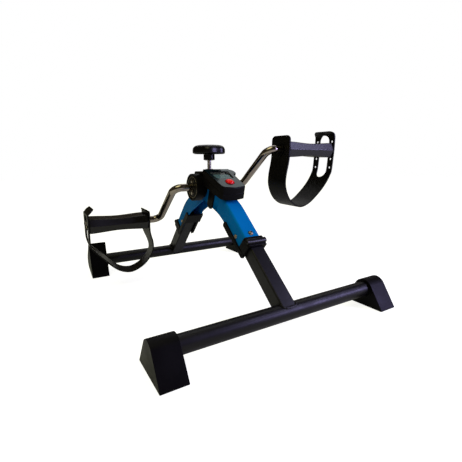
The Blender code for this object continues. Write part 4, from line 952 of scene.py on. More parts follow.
@dataclass
class HingeFittings:
    """Pin, stop rivet, collar and lock clip of one leg's hinge."""

    leg: Leg
    pin_radius: float = 0.003
    head_radius: float = 0.0042
    head: float = 0.0018
    arm_half: float = 0.015
    rivet_place: float = 0.011
    rivet_shank: float = 0.0025
    rivet_radius: float = 0.0046
    rivet_head: float = 0.0025
    rivet_depth: float = 0.002
    web: float = 0.0193
    collar_edge: float = 0.0013
    clip_edge: float = 0.0005
    ridge_half: float = 0.0186
    ridge_span: Span = (-0.0330, -0.0246)
    ridge_rise: Span = (0.0205, 0.0252)
    ridge_corners: Span = (0.0034, 0.0020)
    ridge_edge: float = 0.0014

    def build(self) -> None:
        """Builds the fittings on the arm and the clip that swings on them."""
        name = self.leg.name
        inner = self.arm_half + GAP
        pin = [(0, 0, 0), (0, self.pin_radius, 0), (inner, self.pin_radius, 0), (inner, self.head_radius, 0.0004),
               (inner + self.head, self.head_radius * 0.62, 0.0007), (inner + self.head * 0.8, 0, 0)]
        left, right = (Shape.turned(pin, 40).placed(hand.mirror()) for hand in Hand)
        left.join(right).placed(self.leg.hinge())
        left.piece(f"{name}_pin_heads", BRASSY_STEEL, "frame", f"{name}_hinge_pin")
        seat = self.web + GAP
        foot, top = seat - self.rivet_depth, seat + self.rivet_head
        rivet = Shape.turned([(foot, 0, 0), (foot, self.rivet_shank, 0), (seat, self.rivet_shank, 0),
                              (seat, self.rivet_radius, 0.0002), (top, self.rivet_radius * 0.55, 0.0016),
                              (top, 0, 0)], 40, 5)
        rivet.placed(self.leg.hinge(), at(0, -self.rivet_place, 0), ALONG_Z)
        rivet.piece(f"{name}_web_rivet", BRASSY_STEEL, "frame", f"{name}_stop_rivet")
        Shape.of_node(f"{name}_hinge_collar").bevel(self.collar_edge, 4).piece(
            f"{name}_collar", BLACK_PLASTIC, "frame", f"{name}_hinge_collar")
        Shape.of_node(f"{name}_lock_clip").bevel(self.clip_edge, 2).piece(
            f"{name}_clip", BLACK_PLASTIC, f"{name}_clip", f"{name}_lock_clip")
        self.ridge()

    def ridge(self) -> None:
        """Lays a smooth rounded ridge across the collar's upper face."""
        (low, high), (foot, top), (front, back) = self.ridge_span, self.ridge_rise, self.ridge_corners
        ridge = Shape.plate([(low, foot, 0), (high, foot, 0), (high, top, back), (low, top, front)], 6)
        ridge.push((0, 0, 2 * self.ridge_half)).closed()
        ridge.bevel(self.ridge_edge, 4, lambda e: is_level(e) and max(v.co.y for v in e.verts) > foot + GAP)
        ridge.placed(self.leg.hinge(), at(-self.ridge_half, 0, 0), ACROSS)
        ridge.piece(f"{self.leg.name}_collar_ridge", PEDAL_PLASTIC, "frame")


@dataclass
class Hub:
    """Tube across the arms, its housing and the round covers with their bolts."""

    tube_radius: float = 0.0175
    tube_half: float = 0.033
    housing_half: float = 0.022
    housing_edge: float = 0.0005
    cover_radius: float = 0.025
    rim: float = 0.003
    recess: float = 0.002
    cover_wall: float = 0.0027
    bore: float = 0.0076
    ring_span: Span = (0.0030, 0.0022)
    ring_height: float = 0.0005
    bolt_circle: float = 0.0112
    bolt_flats: float = 0.0030
    bolt_head: float = 0.002
    bolt_edge: float = 0.0004
    washer_bore: float = 0.002
    washer_radius: float = 0.0040
    washer: float = 0.0005

    def build(self) -> None:
        """Builds the housing and both ends."""
        housing = Shape.of_node("hub_housing").bevel(self.housing_edge, 2)
        housing.piece("brake_housing", BLACK_PLASTIC, "frame", "hub_housing")
        for hand in Hand:
            self.cover(hand)
            for up in (-1, 1):
                self.bolt(hand, up)

    def cover(self, hand: Hand) -> None:
        """Builds a dished cover with a raised rim and the bright ring in its dish."""
        start, wall, seat = self.housing_half + GAP, self.tube_half + GAP, self.tube_radius + GAP
        face = wall + self.cover_wall
        tip = face + self.recess
        dish = self.cover_radius - self.rim
        profile = [(start, seat, 0), (wall, seat, 0), (wall, self.bore, 0), (face, self.bore, 0.0004),
                   (face, dish - 0.0004, 0.0006), (tip, dish + 0.0006, 0.0006), (tip, self.cover_radius, 0.0011),
                   (start, self.cover_radius, 0.0004)]
        cover = Shape.turned(profile, 96).placed(HUB, hand.mirror())
        cover.piece(f"{hand.word}_round_cover", BLACK_PLASTIC, "frame", f"{hand.word}_hub_cover")
        inside, outside = (dish - inset for inset in self.ring_span)
        low, top = face - GAP, face + self.ring_height
        ring = Shape.turned([(low, inside, 0), (top, inside, 0.0002), (top, outside, 0.0002),
                             (low, outside, 0)], 96)
        ring.placed(HUB, hand.mirror()).piece(f"{hand.word}_cover_ring", BRASSY_STEEL, "frame")

    def bolt(self, hand: Hand, up: int) -> None:
        """Builds a hexagon bolt on its washer."""
        seat, height = self.tube_half + self.cover_wall + 2 * GAP, up * self.bolt_circle
        head = Shape.rod(self.bolt_flats / cos(pi / 6), self.bolt_head, 6)
        head.bevel(self.bolt_edge, 2, between(Z, low=self.bolt_head - GAP))
        washer = Shape.turned([(0, self.washer_bore, 0), (0, self.washer_radius, 0),
                               (self.washer, self.washer_radius, 0.0002), (self.washer, self.washer_bore, 0)], 32)
        head.placed(at(seat, 0, height), ACROSS).join(washer.placed(at(seat - GAP, 0, height)))
        place = f"{hand.word}_{'upper' if up > 0 else 'lower'}"
        head.placed(HUB, hand.mirror()).piece(f"{place}_hex_bolt", CHROME, "frame", f"{place}_cover_bolt")


@dataclass
class CrankSet:
    """Bent chrome rod on each side, with what holds the pedals on it."""

    radius: float = 0.007
    bend: float = 0.015
    inner_end: float = 0.004
    offset: float = 0.0723
    throw: float = 0.110
    angle: float = radians(37.8)
    outer_end: float = 0.2132
    end_inset: float = 0.001
    edge: float = 0.0007
    pedal_inner: float = 0.1027
    pedal_tilt: float = radians(1.5)
    strap_thickness: float = 0.0025
    keeper: float = 0.0015
    washer_radius: float = 0.010
    nut_radius: float = 0.0083
    nut_tip: Span = (0.0006, 0.0074)

    def build(self) -> None:
        """Builds both cranks and their washers and push-on nuts."""
        for hand in Hand:
            self.rod(hand)
            self.keepers(hand)

    def rod(self, hand: Hand) -> None:
        """Pushes a round face out of the hub, round both bends and on to the pedal's end."""
        b, x, d = self.bend, self.offset, self.throw
        rod = Shape.disc(self.radius, 40).placed(at(self.inner_end, 0, 0), ACROSS)
        rod.push((x - b - self.inner_end, 0, 0)).swing((x - b, -b, 0), (0, 0, -1), pi / 2, 14)
        rod.push((0, -(d - 2 * b), 0)).swing((x + b, -(d - b), 0), (0, 0, 1), pi / 2, 14)
        rod.push((self.outer_end - x - b - self.end_inset, 0, 0)).closed()
        rod.bevel(self.edge, 3, between(X, low=self.outer_end - 1.5 * self.end_inset))
        half_turn = Matrix.Rotation(0.0 if hand is Hand.RIGHT else pi, 4, "X")
        rod.placed(HUB, half_turn, Matrix.Rotation(-self.angle, 4, "X"), hand.mirror())
        rod.piece(f"{hand.word}_crank_rod", CHROME, "crank", f"{hand.word}_crank")

    def pedal_place(self, hand: Hand) -> Matrix:
        """The frame on a pedal's axle, mirrored for the left one."""
        y = -hand.value * self.throw * cos(self.angle)
        z = hand.value * self.throw * sin(self.angle)
        return HUB @ at(0, y, z) @ Matrix.Rotation(self.pedal_tilt, 4, "X") @ hand.mirror()

    def keepers(self, hand: Hand) -> None:
        """Builds the washer inside the strap and the push-on nut on the axle's end."""
        bore, place = self.radius + GAP, self.pedal_place(hand)
        high = self.pedal_inner - 2 * GAP - self.strap_thickness
        low = high - self.keeper
        washer = Shape.turned([(low, bore, 0), (low, self.washer_radius, 0.0004),
                               (high, self.washer_radius, 0.0002), (high, bore, 0)])
        washer.placed(place).piece(f"{hand.word}_strap_washer", BLACK_PLASTIC, "crank", f"{hand.word}_axle_washer")
        tip, (lip, narrow) = self.outer_end, self.nut_tip
        low = tip - self.keeper
        nut = Shape.turned([(low, bore, 0), (low, self.nut_radius, 0.0003), (tip - lip, self.nut_radius, 0.0003),
                            (tip, narrow, 0.0003), (tip, bore, 0)])
        nut.placed(place).piece(f"{hand.word}_axle_nut", STEEL, "crank", f"{hand.word}_push_nut")


@dataclass
class Pedal:
    """Moulded pedal: six-sided, drawn in at its waist, with a boss and pegs for its strap."""

    hand: Hand
    cranks: CrankSet
    length: float = 0.108
    crease: float = 0.025
    tread: float = 0.0205
    high: float = 0.0135
    corner: float = 0.002
    waist: float = 0.0024
    slices: int = 24
    edge: float = 0.0014
    bore: float = 0.0073
    boss: Span = (0.0086, 0.0095)
    root: float = 0.002
    outer_pegs: float = 0.0185
    inner_pegs: float = 0.014
    axle_pegs: float = 0.0112
    peg_radius: float = 0.002
    peg_head: float = 0.0026
    peg_rise: float = 0.0010

    def build(self) -> None:
        """Builds the block, its bore, its boss and its pegs."""
        half = [(self.crease, 0), (self.tread, self.high), (-self.tread, self.high)]
        corners = [(way * x, way * y, self.corner) for way in (1, -1) for x, y in half]
        block = Shape.plate(corners, 4).push((0, 0, self.length)).closed()
        block.bevel(self.edge, 3, lambda e: is_level(e) and e.calc_face_angle(0.0) > radians(80))
        for k in range(1, self.slices):
            block.slice((0, 0, self.length * k / self.slices), (0, 0, 1))
        inner = self.cranks.pedal_inner
        block.shaped(self.draw_in).placed(at(inner, 0, 0), ACROSS)
        block.combine(Shape.rod(self.bore, 2 * self.length, 48).placed(at(inner - 0.01, 0, 0), ACROSS))
        word, place = self.hand.word, self.cranks.pedal_place(self.hand)
        body = f"{word}_pedal_assembly"
        block.placed(place).piece(f"{word}_pedal_block", PEDAL_PLASTIC, body, f"{word}_pedal", angle=40.0)
        outer = inner + self.length
        root, tip = outer - self.root, outer + self.cranks.strap_thickness + 2 * GAP
        thin, wide = self.boss
        boss = Shape.turned([(root, thin, 0), (tip, thin, 0.0003), (tip, wide, 0.0003), (root, wide, 0)])
        boss.join(*(self.peg(start, side, way * y, way * z) for start, side, y, z in (
            (outer, 1, self.outer_pegs, 0.0), (inner, -1, self.inner_pegs, 0.0), (inner, -1, 0.0, self.axle_pegs),
        ) for way in (-1, 1)))
        boss.placed(place).piece(f"{word}_pedal_boss", BLACK_PLASTIC, body)

    def draw_in(self, co: Vector) -> Vector:
        """Narrows the block towards the middle of its length."""
        share = 1 - self.waist / self.high * sin(pi * min(1.0, max(0.0, co.z / self.length))) ** 2
        return Vector((co.x, co.y * share, co.z))

    def peg(self, start: float, way: int, y: float, z: float) -> Shape:
        """A domed peg through a strap hole.

        Args:
            start: Where the pedal's end face is.
            way: 1 for the outer end and -1 for the inner one.
            y: The peg's place across the pedal.
            z: Its height over the axle.

        Returns:
            The peg.
        """
        reach = self.cranks.strap_thickness + GAP
        top = reach + self.peg_rise
        profile = [(-self.root, 0, 0), (-self.root, self.peg_radius, 0), (reach, self.peg_radius, 0),
                   (reach, self.peg_head, 0.0002), (top, 0.0018, 0.0005), (top, 0, 0)]
        return Shape.turned(profile, 24).placed(at(start, y, z), Matrix.Diagonal((way, 1, 1, 1)))


@dataclass
class PedalStrap:
    """Moulded foot strap: cut flat with its slot and holes, then bent round its loop."""

    hand: Hand
    cranks: CrankSet
    sag: float
    pedal_length: float = 0.108
    half_width: float = 0.025
    corner: float = 0.009
    edge: float = 0.0006
    inner_low: float = -0.018
    inner_top: tuple[Span, ...] = ((0.0022, 0.0222), (0.0, 0.0200), (-0.00155, 0.0165))
    loop: tuple[Span, ...] = ((-0.0050, -0.045), (-0.0040, -0.065), (0.0060, -0.086), (0.0220, -0.100),
                              (0.0400, -0.105), (0.0600, -0.098), (0.0800, -0.082), (0.0960, -0.0645),
                              (0.1065, -0.0465))
    outer_low: float = -0.032
    outer_top: float = 0.018
    tip: tuple[Span, ...] = ((0.1092, 0.026), (0.1065, 0.031), (0.1010, 0.0345))
    axle_hole: float = 0.0076
    peg_hole: float = 0.0023
    slot_half: float = 0.012
    slot_low: float = -0.052
    slot_top: float = 0.0285
    holes: int = 4
    hole_pitch: float = 0.0163
    hole_spread: float = 0.0185
    peg_spread: float = 0.014
    peg_rise: float = 0.0112
    station: float = 0.0022
    lean: float = radians(4.0)
    twist: float = 0.0
    roll: float = 0.0
    soft_span: Span = (-0.020, -0.070)

    def build(self) -> None:
        """Builds the strap and its UV map."""
        route = self.route()
        lengths = [0.0]
        for before, after in zip(route, route[1:]):
            lengths.append(lengths[-1] + (after - before).length)
        strap = self.flat(route, lengths)
        strap.push((0, 0, self.cranks.strap_thickness)).closed()
        strap.bevel(self.edge, 2, lambda e: is_level(e) and e.calc_face_angle(0.0) > radians(60))
        steps = int(lengths[-1] / self.station)
        for k in range(1, steps):
            strap.slice((lengths[-1] * k / steps, 0, 0), (1, 0, 0))
        layer = strap.bm.loops.layers.uv.new("strap")
        for face in strap.bm.faces:
            for corner in face.loops:
                corner[layer].uv = corner.vert.co.xy
        strap.shaped(lambda co: self.bent(co, route, lengths))
        word = self.hand.word
        strap.placed(self.cranks.pedal_place(self.hand)).closed()
        item = strap.piece(f"{word}_foot_strap", STRAP, f"{word}_pedal_assembly", f"{word}_pedal_strap",
                           angle=50.0)
        log.info("strap %s is %.3f m long", item.name, lengths[-1])

    def route(self) -> list[Vector]:
        """The strap's middle line, as (out, up) from the pedal's inner end and its axle."""
        full = -min(v for _, v in self.loop)
        stretch = (self.sag + self.inner_low) / (full + self.inner_low)
        loop = [Vector((u, self.inner_low + (v - self.inner_low) * stretch)) for u, v in self.loop]
        plate = -(GAP + self.cranks.strap_thickness / 2)
        outside = self.pedal_length - plate
        head = [Vector(p) for p in self.inner_top] + [Vector((plate, self.inner_low))]
        tail = [Vector((outside, self.outer_low)), Vector((outside, self.outer_top))]
        ends = [Vector(p) for p in self.tip]
        curve = self.smooth([head[0] * 2 - head[1], *head, *loop, *tail], 8)
        return curve + self.smooth([*tail, *ends, ends[-1] * 2 - ends[-2]], 6)

    @staticmethod
    def smooth(points: Sequence[Vector], steps: int) -> list[Vector]:
        """A smooth curve through points, without the first and last of them."""
        curve = []
        for before, here, after, beyond in zip(points, points[1:], points[2:], points[3:]):
            for k in range(steps):
                t = k / steps
                curve.append(here + 0.5 * t * ((after - before) + t * (
                    (2 * before - 5 * here + 4 * after - beyond) + t * (3 * (here - after) + beyond - before))))
        return curve + [points[-2].copy()]

    @staticmethod
    def reach(route: Sequence[Vector], lengths: Sequence[float], up: float, last: bool) -> float:
        """How far along the strap it first, or last, passes a height.

        Args:
            route: The strap's middle line.
            lengths: How far along each of its points is.
            up: The height.
            last: Whether the last place counts rather than the first.

        Returns:
            The distance from the strap's inner end.
        """
        found = [
            lengths[k] + (up - a.y) / (b.y - a.y) * (lengths[k + 1] - lengths[k])
            for k, (a, b) in enumerate(zip(route, route[1:]))
            if min(a.y, b.y) <= up <= max(a.y, b.y) and a.y != b.y
        ]
        return found[-1] if last else found[0]

    def flat(self, route: Sequence[Vector], lengths: Sequence[float]) -> Shape:
        """The strap's flat face with all its holes, X along it and Y across it."""
        end, wide, corner = lengths[-1], self.half_width, self.corner
        shape = Shape.plate([(0, -wide, corner), (end, -wide, corner), (end, wide, corner), (0, wide, corner)], 8)
        axle = self.reach(route, lengths, 0.0, False)
        small = [(axle, way * self.peg_spread) for way in (-1, 1)]
        small += [(self.reach(route, lengths, way * self.peg_rise, False), 0.0) for way in (-1, 1)]
        for k in range(self.holes):
            up = self.reach(route, lengths, self.hole_pitch * (1 - k), True)
            small += [(up, way * self.hole_spread) for way in (-1, 1)]
        holes = [Shape.disc(self.axle_hole, 32).placed(at(axle, 0, 0))]
        holes += [Shape.disc(self.peg_hole, 16).placed(at(*centre, 0)) for centre in small]
        low, top = (self.reach(route, lengths, up, True) for up in (self.slot_low, self.slot_top))
        half = self.slot_half
        slot = [(low, -half), (top, -half), (top, half), (low, half)]
        shape.join(*holes, Shape.plate([(x, y, half * 0.999) for x, y in slot], 10))
        bmesh.ops.delete(shape.bm, geom=list(shape.bm.faces), context="FACES_ONLY")
        bmesh.ops.triangle_fill(shape.bm, edges=shape.bm.edges, use_beauty=True, normal=(0, 0, 1))
        shape.end = list(shape.bm.faces)
        return shape

    def bent(self, co: Vector, route: Sequence[Vector], lengths: Sequence[float]) -> Vector:
        """Carries a point of the flat strap to its place on the loop.

        Args:
            co: The point.
            route: The strap's middle line.
            lengths: How far along each of its points is.

        Returns:
            The point's place by the pedal.
        """
        along = min(max(co.x, 0.0), lengths[-1])
        k = max(0, min(len(route) - 2, next((i for i, s in enumerate(lengths) if s > along), len(lengths)) - 1))
        share = (along - lengths[k]) / (lengths[k + 1] - lengths[k])
        here = route[k].lerp(route[k + 1], share)
        before = route[min(k + 1, len(route) - 1)] - route[max(k - 1, 0)]
        after = route[min(k + 2, len(route) - 1)] - route[k]
        ahead = before.normalized().lerp(after.normalized(), share).normalized()
        normal = Vector((-ahead.y, ahead.x)) * (co.z - self.cranks.strap_thickness / 2)
        high, low = self.soft_span
        hang = min(1.0, max(0.0, (high - here.y) / (high - low)))
        hang *= hang * (3 - 2 * hang)
        out = self.cranks.pedal_inner + here.x + normal.x - (co.y + self.half_width) * tan(self.twist * hang)
        across = co.y - min(0.0, here.y) * tan(self.lean)
        return Vector((out, across, here.y + normal.y - co.y * tan(self.roll * hang)))


@dataclass
class TensionKnob:
    """Lobed knob on its threaded stud, and the nut on the housing."""

    radius: float = 0.031
    underside: float = 0.0611
    lobes: int = 6
    lobe_depth: float = 0.0015
    stem_radius: float = 0.0105
    stem: float = 0.011
    cone: float = 0.0012
    stem_rings: tuple[Corner, ...] = ((-0.0112, -0.0003, 0), (-0.0106, 0, 0), (-0.0012, 0, 0),
                                      (-0.0003, 0.0004, 0), (0, 0.0013, 0))
    head_rings: tuple[Corner, ...] = (
        (0, 0.93, 0.7), (0.0003, 0.955, 0.75), (0.0010, 0.985, 0.9), (0.0022, 1, 1), (0.0062, 1, 1),
        (0.0078, 0.995, 1), (0.0096, 0.975, 0.95), (0.0112, 0.945, 0.9), (0.0128, 0.895, 0.75),
        (0.0141, 0.83, 0.6), (0.0150, 0.74, 0.4), (0.0156, 0.62, 0.2), (0.0159, 0.48, 0.1), (0.0160, 0.30, 0),
    )
    screw_radius: float = 0.004
    screw_low: float = 0.024
    pitch: float = 0.0013
    nut_low: float = 0.0293
    nut_height: float = 0.004
    nut_half: float = 0.0065
    nut_bore: float = 0.0043
    nut_cone: Span = (0.0066, 0.0076)
    nut_chamfer: float = 0.0009

    def build(self) -> None:
        """Builds the knob, its stud and its nut."""
        self.head()
        self.stud()
        self.nut()

    def head(self) -> None:
        """Grows the head ring by ring from its stem."""
        low = self.underside
        knob = Shape.disc(self.stem_radius * 0.62, 144).placed(at(0, 0, low - self.stem - self.cone))
        rings = [(z, self.stem_radius + wider, share) for z, wider, share in self.stem_rings]
        rings += [(z, self.radius * part, share) for z, part, share in self.head_rings]
        for z, radius, share in rings:
            knob.push((0, 0, 0))
            for vert in {v for f in knob.end for v in f.verts}:
                a = atan2(vert.co.y, vert.co.x)
                reach = radius + share * self.lobe_depth * cos(self.lobes * a)
                vert.co = (reach * cos(a), reach * sin(a), low + z)
        knob.closed().placed(HUB).piece("knob_head", GLOSS_BLACK, "knob", "tension_knob", angle=40.0)

    def stud(self) -> None:
        """Winds the stud's thread round its core."""
        low, high, pitch, crest = self.screw_low, self.underside - GAP, self.pitch, self.screw_radius
        inner, root, steps = crest - 0.0009, crest - 0.0010, 28
        core = Shape.turned([(low, 0, 0), (low, inner, 0.0003), (high, inner, 0), (high, 0, 0)], 32)
        thread = Shape()
        turns = int((high - low - 0.003) / pitch)
        marks = [(0.0, root), (pitch * 0.40, crest), (pitch * 0.55, crest), (pitch * 0.95, root)]
        verts = [thread.bm.verts.new((low + 0.001 + a, r, 0)) for a, r in marks]
        edges = [thread.bm.edges.new(pair) for pair in zip(verts, verts[1:])]
        bmesh.ops.spin(thread.bm, geom=verts + edges, cent=(0, 0, 0), axis=(1, 0, 0), dvec=(pitch / steps, 0, 0),
                       angle=2 * pi * turns, steps=steps * turns, use_merge=False)
        core.join(thread.closed()).placed(HUB, ALONG_Z).piece("threaded_stud", STEEL, "knob", "tension_screw")

    def nut(self) -> None:
        """Builds the thin nut with its chamfered corners."""
        thick, chamfer, past = self.nut_height, self.nut_chamfer, 0.001
        narrow, wide = self.nut_cone
        nut = Shape.rod(self.nut_half / cos(pi / 6), thick, 6)
        cone = Shape.turned([(-past, 0, 0), (-past, narrow, 0), (chamfer, wide, 0), (thick - chamfer, wide, 0),
                             (thick + past, narrow, 0), (thick + past, 0, 0)]).placed(ALONG_Z)
        bore = Shape.disc(self.nut_bore, 32).placed(at(0, 0, -past)).push((0, 0, 2 * thick))
        nut.combine(cone, "INTERSECT").combine(bore)
        nut.placed(HUB, at(0, 0, self.nut_low)).piece("housing_nut", STEEL, "frame", "tension_nut")


@dataclass
class CounterConsole:
    """Counter on the front arm: shell, window, display, button and the saddle that carries it."""

    side_length: float = 0.066
    corner_length: float = 0.072
    length: float = 0.077
    rear_half: float = 0.0275
    front_half: float = 0.024
    corner_half: float = 0.0215
    corner_radii: Span = (0.0026, 0.003)
    parting: float = 0.011
    front_lean: float = 0.166
    rear_lean: float = 0.438
    edge: float = 0.0016
    body_edge: float = 0.0006
    ear_radius: float = 0.011
    ear_place: Span = (0.0235, 0.0135)
    ear_low: float = -0.009
    face: float = 0.001
    face_rise: float = 0.0002
    window_rear: float = 0.011
    window_front: float = 0.0395
    window_rear_half: float = 0.0200
    window_front_half: float = 0.0168
    window_corner: float = 0.0015
    window_depth: float = 0.0040
    panel_inset: Corner = (0.004, 0.001, 0.009)
    button_place: float = 0.0545
    button_radius: float = 0.0077
    button_dome: float = 0.0042
    above: float = 0.001

    def build(self) -> None:
        """Builds every visible part of the console."""
        self.top()
        self.display()
        self.button()
        for name, node in (("console_body", "console_base"), ("console_clamp", "console_saddle")):
            Shape.of_node(node).bevel(self.body_edge, 2).piece(name, BLACK_PLASTIC, "frame", node)

    def lean(self, co: Vector) -> Vector:
        """Slopes the front wall outwards and the rear one inwards below the top."""
        at_rear = co.y > -self.side_length / 2
        return Vector((co.x, co.y + co.z * (self.rear_lean if at_rear else self.front_lean), co.z))

    def outline(self, inset: float) -> list[Corner]:
        """The corners of the console's plan, drawn in by an inset."""
        rear, front = self.corner_radii
        right = [(self.rear_half - inset, -inset, rear), (self.front_half - inset, -self.side_length, front),
                 (self.corner_half - inset, -self.corner_length + inset / 2, front), (0, -self.length + inset, 0)]
        return right + [(-x, y, r) for x, y, r in reversed(right[:-1])]

    def top(self) -> None:
        """Builds the black upper shell and the grey face let into it."""
        is_top, (x, t) = between(Z, low=-GAP), self.ear_place
        shell = Shape.plate(self.outline(0.0), 4).push((0, 0, -self.parting)).closed().shaped(self.lean)
        shell.bevel(self.edge, 4, lambda e: is_top(e) and e.calc_face_angle(0.0) > radians(20))
        self.opened(shell, 0.0)
        low, high = self.ear_low, -self.face_rise
        ear = Shape.turned([(low, 0, 0), (low, self.ear_radius, 0.0004), (high, self.ear_radius, self.edge),
                            (high, 0, 0)], 48, 4)
        shell.combine(ear.placed(at(x, -t, 0), ALONG_Z), "UNION")
        shell.placed(CONSOLE).piece("console_shell", BLACK_PLASTIC, "frame", "console_top", angle=28.0)
        face = Shape.plate(self.outline(self.edge + self.face_rise), 4).push((0, 0, -self.face)).closed()
        lobe = Shape.disc(self.ear_radius - self.edge, 48).placed(at(x, -t, 0)).push((0, 0, -self.face))
        face.combine(lobe.closed(), "UNION").placed(at(0, 0, self.face_rise))
        self.opened(face, -0.0001)
        face.placed(CONSOLE).piece("console_face", CONSOLE_GREY, "frame", angle=28.0)

    def opened(self, shape: Shape, inset: float) -> None:
        """Cuts the window, drawn in by an inset, and the button's hole."""
        shape.combine(self.window(inset, self.window_depth).placed(at(0, 0, self.above)))
        hole = Shape.disc(self.button_radius + 0.0004, 48).placed(at(0, -self.button_place, self.above))
        shape.combine(hole.push((0, 0, -0.0045)).closed())

    def window(self, inset: float, depth: float) -> Shape:
        """The window's outline pushed down.

        Args:
            inset: How far it lies inside the shell's opening.
            depth: How deep it goes.

        Returns:
            The closed block, its top at zero.
        """
        rear, front = -self.window_rear - inset, -self.window_front + inset
        wide, narrow = self.window_rear_half - inset, self.window_front_half - inset
        corners = [(-wide, rear), (-narrow, front), (narrow, front), (wide, rear)]
        return Shape.plate([(x, y, self.window_corner) for x, y in corners], 4).push((0, 0, -depth)).closed()

    def display(self) -> None:
        """Lays the black bezel, the display and the clear window on the floor of the recess; the bezel's wide rear
        band is partly painted shade.
        """
        floor = self.above - self.window_depth
        bezel = self.window(GAP, 0.0006).placed(CONSOLE, at(0, 0, floor + 0.0006))
        bezel.piece("display_bezel", GLOSS_BLACK, "frame")
        # The display sits forward in the window, so the black bezel shows widest at the rear and sides: a bezel,
        # and painted shade under the recess's rear wall.
        rear_inset, front_inset, behind = self.panel_inset
        wide, narrow = self.window_rear_half - rear_inset, self.window_front_half - front_inset
        rear, front = -self.window_rear - behind, -self.window_front + 0.0005
        glass = Shape.plate([(-wide, rear, 0), (-narrow, front, 0), (narrow, front, 0), (wide, rear, 0)])
        glass.push((0, 0, -0.0003)).closed().placed(CONSOLE, at(0, 0, floor + 0.0009))
        glass.piece("crystal_panel", DISPLAY, "frame", "lcd_display")
        pane = self.window(2 * GAP, 0.0004).placed(CONSOLE, at(0, 0, floor + 0.0015))
        pane.piece("window_pane", CLEAR_PLASTIC, "frame", "lcd_window")

    def button(self) -> None:
        """Builds the domed button and the ring round its hole."""
        r, dome, flange = self.button_radius, self.button_dome, self.button_radius + 0.001
        profile = [(-0.0035, 0, 0), (-0.0035, flange, 0), (-0.0023, flange, 0), (-0.0023, r, 0),
                   (0.0010, r, 0.0006), (0.0030, r * 0.80, 0.0022), (dome, r * 0.30, 0.002), (dome, 0, 0)]
        place = CONSOLE @ at(0, -self.button_place, 0) @ ALONG_Z
        cap = Shape.turned(profile, 64, 6).placed(place)
        cap.piece("button_cap", RED_PLASTIC, "button", "reset_button", angle=50.0)
        ring = [(-0.0005, r + 0.0003, 0), (0.0004, r + 0.0003, 0.0002), (0.0004, r + 0.0012, 0.0003),
                (-0.0005, r + 0.0014, 0)]
        Shape.turned(ring, 64).placed(place).piece("button_surround", BLACK_PLASTIC, "frame")


